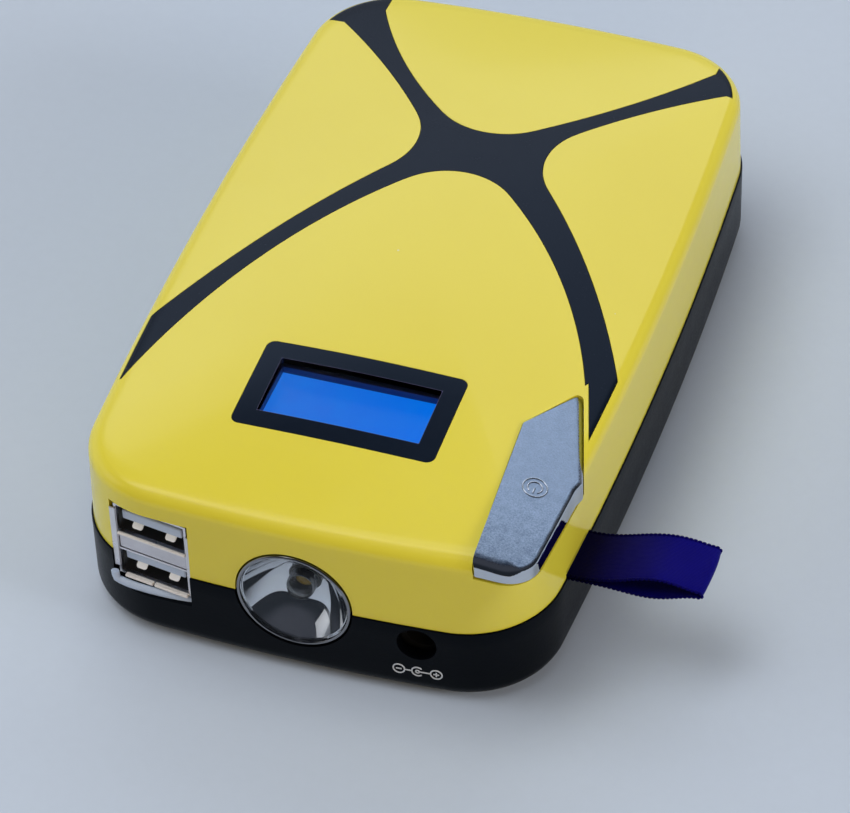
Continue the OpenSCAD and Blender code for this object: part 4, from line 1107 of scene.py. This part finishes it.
def torchFinish():
    # mirror bowl with a darker rim, told apart by the distance from the torch's axis
    material, t, shader = newMaterial("torchMirror")
    x, _, z = t.apart()
    up, edge = t.math("SUBTRACT", z, torch["z"] * mm), torch["radius"] * mm
    away = t.math("SQRT", t.plus(t.times(x, x), t.times(up, up)))
    onRim = t.remap(away, edge - 0.8 * mm, edge - 0.65 * mm)
    scuffs = effect(t, "scuffs", Scale=160.0, Amount=0.1)[0]
    mirror = t.mix(effect(t, "mottle", Scale=140.0)[0], (0.70, 0.71, 0.73), (0.76, 0.77, 0.78))
    setShader(t, shader, BaseColor=t.mix(onRim, mirror, (0.27, 0.27, 0.28)), Metallic=1.0,
              Roughness=t.plus(t.remap(onRim, 0, 1, 0.05, 0.12), t.times(scuffs, 0.15)))
    return material


def portFace(y0, y1, mouths):
    w, half = port["mouthWidth"] / 2, port["width"] / 2
    item = block("face", (-half, y0, port["z"]), (half, y1, portTop))
    for low, high in mouths:
        combine(item, block("mouth", (-w, y0 - 1, low), (w, y1 + 1, high)))
    return item


def springTab(x, z):
    # a small plate that leans forward under the tongue, its lower corners rounded
    half, long, lean = port["tabWidth"] / 2, port["tabLength"], radians(port["tabLean"])
    outline = [(half, 0), *onArc((half - 0.45, -long + 0.45), 0.45, np.radians(np.linspace(0, -90, 7)))]
    outline += [(-u, v) for u, v in outline[::-1]]
    rings = [np.array([(x + u, 0.95 + v * cos(lean) - lift * sin(lean), z + v * sin(lean) + lift * cos(lean))
                       for u, v in outline]) for lift in (0, 0.22)]
    return bevelled(turnOutward(loft("tab", rings)), 0.06, 2)


def makePort():
    w, h, d = port["mouthWidth"] / 2, port["mouthHeight"], port["depth"]
    z0, sheet, half = port["z"], port["sheet"], port["width"] / 2
    mouths = [(z0 + sheet, z0 + sheet + h), (portTop - sheet - h - port["dividerDrop"], portTop - sheet)]
    plateLow, plateHigh = mouths[0][1] + sheet, mouths[1][0] - sheet
    face = portFace(0, port["faceDepth"], mouths)
    combine(face, block("step", (-w, -1, plateLow), (w, 0.35, plateHigh)))
    parts = [bevelled(face, 0.13, 3)]
    for side, out, (wide, fromTop, fromBottom) in zip((-1, 1), port["lipOut"], (port["leftLip"], port["rightLip"])):
        x0, x1 = sorted((side * (half + out), side * (half + out - wide)))
        parts.append(bevelled(block("edge", (x0, -0.3, z0 + fromBottom), (x1, 0.1, portTop - fromTop)), 0.15, 3))
    lips = [bevelled(block("lip", low, high), 0.2, 4) for low, high in (
        ((-w, -0.45, plateHigh + sheet - 0.5), (w + 0.1, 0.2, plateHigh + sheet)),
        ((-w + 0.9, -0.8, z0 + 0.02), (-0.12, 0.1, z0 + 0.55)),
        ((0.12, -0.8, z0 + 0.02), (w + 0.1, 0.1, z0 + 0.55)))]
    # painted shade: the inner walls of the mouths are black, standing in for the shade deep inside the port
    shadeSleeve = combine(portFace(port["faceDepth"], d, mouths), block("closed", (-half, d - 1, z0), (half, d, portTop)),
                     "UNION")
    shadeBacks, tongues, tabs = [], [], []
    across, thick = port["tongue"][0] / 2, port["tongue"][1]
    for (low, high), drop in zip(mouths, port["tongueDrop"]):
        under = high - drop - thick
        # painted shade: a dark block at the back of each mouth stands in for the shade deep inside
        shadeBacks.append(block("back", (-w + 0.05, d - 3.5, low + 0.05), (w - 0.05, d - 1.1, high - 0.05)))
        tongues.append(bevelled(block("tongue", (-across, 0.55, under), (across, d - 1.7, high - drop)), 0.3, 4))
        tabs += [springTab(x, under + 0.02) for x in port["tabs"]]
    divider = block("divider", (-w + 0.05, 0.1, plateLow + 0.05), (w - 0.05, d - 1, plateHigh - 0.05))
    bevelled(divider, 0.2, 3)
    # the port flange's edge under its lower lip: a pale blue bead, a painted highlight standing in for light on that
    # edge
    line = [(-half - 0.2, -1.15, z0 + 1.1), (-half - 0.1, -1.2, z0 + 0.3)]
    line += [(-half + 0.15 + (2 * half + 0.8) * k, -1.24 + 0.66 * k + 0.92 * k * k, z0 - 1.0 + 0.6 * (1 - k) ** 8)
             for k in np.linspace(0, 1, 28)]
    sill = sweep("sill", line, port["sillRadius"], sides=20, squash=port["sillSquash"])
    bright = metal("portSteel", (0.78, 0.75, 0.75), (0.84, 0.80, 0.80), 0.34)
    cream = plastic("lipSatin", (0.86, 0.82, 0.78), (0.90, 0.86, 0.82), 0.32)
    # painted reflection: the spring tabs are a plain bright white that stands in for the shine of lit metal springs
    white = plastic("tabPaintedShine", (0.95, 0.95, 0.94), (0.97, 0.97, 0.96), 0.3)
    plate = metal("dividerPlate", (0.70, 0.665, 0.67), (0.76, 0.72, 0.73), 0.42, grainScale=1600, grainDepth=0.1)
    # black gives the painted shade of the sleeve and the back blocks
    black, ivory = finishes["black_plastic"], finishes["ivory_plastic"]
    for name, items, finish, slot, node in (
            ("face", parts, bright, "steel", "usb_shell"), ("lips", lips, cream, "steel", "usb_shell"),
            ("shadeSleeve", [shadeSleeve], black, "steel", "usb_shell"), ("tongues", tongues, ivory, "ivory_plastic", "usb_core"),
            ("tabs", tabs, white, "white_plastic", "usb_shell"), ("shadeBacks", shadeBacks, black, "black_plastic", "usb_core"),
            ("divider", [divider], plate, "ivory_plastic", "usb_core"),
            ("sill", [sill], ivory, "ivory_plastic", "usb_core")):
        place(turnPort(joined("port_" + name, items, finish)), "pack", slot, node)


inletSign = {"z": 5.6, "radius": 0.95, "gap": 3.1, "line": 0.13}


def makeInletSign():
    # printed signs under the inlet: direct current, and which pole the pin is
    white = plastic("printWhite", (0.55, 0.58, 0.62), (0.62, 0.64, 0.68), 0.5, grainScale=1400)
    bow = arcRadius(sideX, case["endBow"])
    r, step = inletSign["radius"], inletSign["gap"]

    def circle(x, radius, start=0, end=360):
        turns = np.linspace(start, end, 36, endpoint=end - start < 360)
        return True, onArc((x, 0), radius, np.radians(turns))

    def straight(xa, za, xb, zb):
        return False, [(xa + (xb - xa) * k, za + (zb - za) * k) for k in np.linspace(0, 1, 5)]

    def stroke(closed, points):
        ways = [(inlet["x"] + x, inletSign["z"] + z) for x, z in points]
        line = [(x, bow + frontY - sqrt(bow * bow - x * x), z) for x, z in ways]
        return sweep("stroke", line, inletSign["line"], closed, 8)

    broken = (False, circle(0, r, 45, 315)[1])
    lines = [circle(-step, r), circle(step, r), broken, circle(0, r * 0.3), straight(-step + r, 0, -r, 0),
             straight(r * 0.3, 0, step - r, 0), straight(-step - r * 0.5, 0, -step + r * 0.5, 0),
             straight(step - r * 0.5, 0, step + r * 0.5, 0), straight(step, -r * 0.5, step, r * 0.5)]
    place(joined("inlet_sign", [stroke(*line) for line in lines], white), "pack", "white_plastic")


# lit is the span in x over which the ribbon's painted shade turns into painted light
ribbon = {"radius": 1.5, "barX": sideX - 6.3, "rise": 2.2, "height": 3.2, "fold": 0.7, "thickness": 0.4,
          "wave": 0.16, "beadEvery": 0.75, "beadRadius": 0.26, "bend": (0.0405, 0.0435), "lit": (0.0425, 0.056)}


def ribbonLine():
    # the loop's middle line in x and z, from behind the bar out over the top, round the fold and back
    low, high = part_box("strap")
    x0, out = low.x / mm, high.x / mm - ribbon["thickness"] / 2
    seam, r, bar, fold = case["seam"], ribbon["radius"], ribbon["barX"], ribbon["fold"]
    strand = ribbon["thickness"] / 2 + 0.03

    def arc(x, z, radius, start, end, steps):
        return onArc((x, z), radius, np.radians(np.linspace(start, end, steps)))

    def point(u, s):
        opened = (strand + (ribbon["height"] / 2 - strand) * sin(pi * u ** 1.4) ** 1.5 + (fold - strand) * u ** 3)
        return (x0 + (out - fold - x0) * u, seam + ribbon["rise"] * sin(pi / 2 * u) ** 2 + s * opened)

    return np.concatenate([
        arc(bar, seam, r, 182, 75, 10),
        [(bar + 2.3 + (x0 - bar - 2.5) * k, seam + strand) for k in np.linspace(0, 1, 5)],
        [point(u, 1) for u in np.linspace(0.02, 1, 48)],
        arc(out - fold, seam + ribbon["rise"], fold, 70, -70, 9),
        [point(u, -1) for u in np.linspace(1, 0.02, 48)],
        [(x0 - 0.2 + (bar + 2.5 - x0) * k, seam - strand) for k in np.linspace(0, 1, 5)],
        arc(bar, seam, r, 285, 184, 10)])


def ribbonFinish():
    # satin cloth on its own UV map: warp lines along it, fine ribs across, with painted shade near the case and painted
    # light further out
    material, t, shader = newMaterial("ribbonSatin")
    across = t.apart(t.add("ShaderNodeUVMap", uv_map="cloth").outputs[0])
    warp, weft = [t.math("ABSOLUTE", t.math("SINE", t.times(way, count * pi))) for way, count in zip(across, (36, 230))]
    tone = effect(t, "grain", Scale=2400.0)["Tone"]
    base = t.mix(warp, (0.0015, 0.001, 0.050), (0.0035, 0.0025, 0.15))
    base = t.mix(t.times(effect(t, "mottle", Scale=160.0)[0], 0.35), base, (0.003, 0.002, 0.085))
    base = t.mix(t.times(tone, 0.25), base, (0.01, 0.007, 0.22))
    # painted shade and light: the colour is darker near the case and lighter further out in x
    base = t.mix(1.0, base, t.remap(t.apart()[0], *ribbon["lit"], 0.22, 1.35), "MULTIPLY")
    setShader(t, shader, BaseColor=base, Roughness=t.remap(warp, 0, 1, 0.62, 0.44), SpecularIORLevel=0.06,
              SpecularTint=(0.3, 0.25, 1.0), SheenWeight=0.03, SheenRoughness=0.4, SheenTint=(0.2, 0.15, 0.9))
    bump(t, shader, t.plus(t.times(warp, 0.7), t.times(weft, 0.5)), 0.5, 0.00008)
    return material


def makeRibbon():
    line = ribbonLine()
    way = np.concatenate([[0], np.cumsum(np.linalg.norm(np.diff(line, axis=0), axis=1))])
    low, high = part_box("strap")
    width, middle, thickness = (high.y - low.y) / mm, (high.y + low.y) / 2 / mm, ribbon["thickness"]
    ahead = np.gradient(line, axis=0)
    normal = unit(np.column_stack([-ahead[:, 1], ahead[:, 0]]))
    outside = np.clip((line[:, 0] - low.x / mm - 1.5) / 8, 0, 1)
    columns = 16
    section = [(k, thickness / 2 * (1 - 0.55 * abs(k) ** 8)) for k in np.linspace(0, 1, columns) * 2 - 1]
    section += [(x, -z) for x, z in section[::-1]]
    rings = []
    for p, n, v, o in zip(line, normal, way, outside):
        points = []
        for x, z in section:
            z += ribbon["wave"] * o * (sin(v * 0.42 + x * 2.1) * 0.6 + x * x * cos(v * 0.3))
            points.append((p[0] + n[0] * z, middle + x * width / 2, p[1] + n[1] * z))
        rings.append(np.array(points))
    cloth = ribbonFinish()
    item = smooth(turnOutward(loft("ribbon_loop", rings, cloth, smoothAngle=60)), 60)
    layer = item.data.uv_layers.new(name="cloth")
    points, ways = np.concatenate(rings), np.repeat(way / width, len(section))
    nearest = [np.abs(points * mm - np.array(v.co)).sum(1).argmin() for v in item.data.vertices]
    for loop in item.data.loops:
        i = nearest[loop.vertex_index]
        layer.data[loop.index].uv = ((points[i, 1] - middle) / width + 0.5, ways[i])
    edges = [[points[k] for points in rings] for k in (0, columns - 1)]
    beads = patterned("ribbon_edges", edges, beadTree(), cloth,
                      {"Every": ribbon["beadEvery"] * mm, "Radius": ribbon["beadRadius"] * mm})
    for piece in (item, beads):
        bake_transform(piece)
    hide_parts("strap", "strap_tail")


def endTree(t, points, shape, enter, leave, **inputs):
    # copies of the shape on the points, as plain faces with their finish
    copies = t.shape("InstanceOnPoints", {"Points": points, "Instance": shape, **inputs})
    shaded = t.shape("SetShadeSmooth", {0: t.shape("RealizeInstances", {0: copies})})
    t.feed(leave[0], t.shape("SetMaterial", {"Geometry": shaded, "Material": enter["Finish"]}))


def beadTree():
    # small stitches along a chain of points
    tree, t, enter, leave = newTree("edgeBeads", {"Every": 0.001, "Radius": 0.0002})
    line = t.shape("MeshToCurve", {"Mesh": enter["Geometry"]})
    spots = t.shape("ResampleCurve", {"Curve": line, "Length": enter["Every"]}, mode="LENGTH")
    bead = t.shape("MeshUVSphere", {"Segments": 8, "Rings": 6, "Radius": enter["Radius"]})
    turn = t.add("FunctionNodeAlignRotationToVector", {"Vector": t.shape("InputTangent")}, axis="Z").outputs[0]
    endTree(t, spots, bead, enter, leave, Rotation=turn, Scale=(1.0, 1.0, 1.5))
    return tree


def ribTree():
    # rounded ribs on given points, long in z
    tree, t, enter, leave = newTree("ribs", {"Radius": 0.0004, "Stretch": 10.0})
    bead = t.shape("MeshUVSphere", {"Segments": 20, "Rings": 16, "Radius": enter["Radius"]})
    endTree(t, enter["Geometry"], bead, enter, leave, Scale=t.vector(1.0, 0.8, enter["Stretch"]))
    return tree


def screwTree():
    # domed heads with a cross recess on given points, facing down, each with its shank
    tree, t, enter, leave = newTree("crossScrews", {"Radius": 0.0026, "Height": 0.0018, "Shank": 0.0013,
                                                    "Slot": 0.0006})
    height, slot, long = enter["Height"], enter["Slot"], t.times(enter["Radius"], 1.1)
    ballRadius, down = t.times(enter["Radius"], 1.6), t.times(height, -0.5)

    def lifted(shape, z):
        return t.shape("Transform", {"Geometry": shape, "Translation": t.vector(0.0, 0.0, z)})

    def gather(node, key, shapes):
        for shape in shapes:
            t.feed(node.inputs[key], shape)
        return node.outputs[0]

    head = t.shape("MeshCylinder", {"Vertices": 48, "Radius": enter["Radius"], "Depth": height})
    ball = t.shape("MeshUVSphere", {"Segments": 48, "Rings": 32, "Radius": ballRadius})
    ball = lifted(ball, t.plus(ballRadius, down))
    dome = gather(t.add("GeometryNodeMeshBoolean", operation="INTERSECT"), 1, (head, ball))
    bars = [lifted(t.shape("MeshCube", {"Size": t.vector(a, b, height)}), down)
            for a, b in ((long, slot), (slot, long))]
    recess = gather(t.add("GeometryNodeMeshBoolean", {0: dome}, operation="DIFFERENCE"), 1, bars)
    shank = lifted(t.shape("MeshCylinder", {"Vertices": 32, "Radius": enter["Shank"], "Depth": 0.012}), 0.0068)
    endTree(t, enter["Geometry"], gather(t.add("GeometryNodeJoinGeometry"), 0, (recess, shank)), enter, leave)
    return tree


def patterned(name, lines, tree, material, sizes, angle=35):
    # a tree's pattern on lines of points, or on separate points, as one plain mesh
    edges, at = [], 0
    for line in lines:
        edges += [(at + i, at + i + 1) for i in range(len(line) - 1)]
        at += len(line)
    mesh = bpy.data.meshes.new(name)
    mesh.from_pydata([tuple(np.asarray(p, float) * mm) for line in lines for p in line], edges, [])
    item = newItem(name, mesh)
    modifier = item.modifiers.new("pattern", "NODES")
    modifier.node_group = tree
    sizes["Finish"] = material
    for socket in tree.interface.items_tree:
        if socket.in_out == "INPUT" and socket.name in sizes:
            modifier[socket.identifier] = sizes[socket.name]
    return smooth(closeSlivers(applyModifiers(item)), angle)


cover = {"front": 2.1, "back": 0.5, "edge": 0.45, "corner": 0.9, "ribs": 3, "ribEvery": 1.6, "ribRadius": 0.42,
         "ribStretch": 9.0, "ribsFrom": 4.65}


def makeCover():
    # the rubber cover: a plate with soft edges, its knuckle on the pin, and three ribs to lift it by
    rubber = finishes["cover_rubber"]
    r, half, z = socket["knuckle"], socket["coverHeight"] / 2, socket["z"]
    left, right, edge = pinX + r - 0.4, coverHalf - 0.4, cover["edge"]
    centre, reach = np.array(((left + right) / 2, z)), np.array(((right - left) / 2, half))
    outline = roundedBox(right - left, 2 * half, cover["corner"], centre)
    rings = []
    for y, side in ((rearY - cover["front"], 1), (rearY - cover["back"], -1)):
        for a in np.radians(np.linspace(90, 0, 6)[::side]):
            p = centre + (outline - centre) * (1 - edge * (1 - cos(a)) / reach)
            rings.append(raised(p, y + side * edge * (1 - sin(a)))[:, [0, 2, 1]])
    plate = turnOutward(loft("plate", rings))
    combine(plate, block("nail", (coverHalf - 1.6, rearY - 3, z - 3.5), (right + 2, rearY - 1.65, z + 3.5)))
    bore = socket["pinRadius"] + 0.04
    profile = [(bore, 0), (r - 0.25, 0), (r, 0.25), (r, 2 * half - 0.25), (r - 0.25, 2 * half), (bore, 2 * half)]
    barrel = revolve("barrel", profile + profile[:1], 64, (pinX, pinY, z - half), (0, 0, 1))
    place(joined("socket_flap", [plate, barrel], rubber), "cover", "cover_rubber", "socket_cover")
    spots = [[(coverHalf - cover["ribsFrom"] + i * cover["ribEvery"], rearY - cover["back"], z)]
             for i in range(cover["ribs"])]
    ribs = patterned("flap_ribs", spots, ribTree(), rubber,
                     {"Radius": cover["ribRadius"] * mm, "Stretch": cover["ribStretch"]}, 60)
    place(ribs, "cover", "cover_rubber")


def makeScrews():
    item = patterned("base_screws", [[(x, y, screws["headAt"])] for x, y in screwSpots], screwTree(),
                     finishes["steel"], {})
    place(item, "pack", "steel", "case_screws")


makeUpperShell()
print("upper shell made")
makeLowerShell()
print("lower shell made")
makeInlay()
makeWindow()
print("inlay and window made")
makeButton()
makeTorch()
makePort()
makeInletSign()
print("button, torch, port and inlet sign made")
makeRibbon()
makeCover()
makeScrews()
print("ribbon, cover and screws made")

# CAD nodes that keep their shape get their finish
for entry in frame["record"]["subparts"]:
    node, finish = frame["nodes"].get(entry["node"]), finishes.get(entry["material_slot"])
    if node and finish:
        finished(node, finish)
print("finishes given to the CAD nodes")
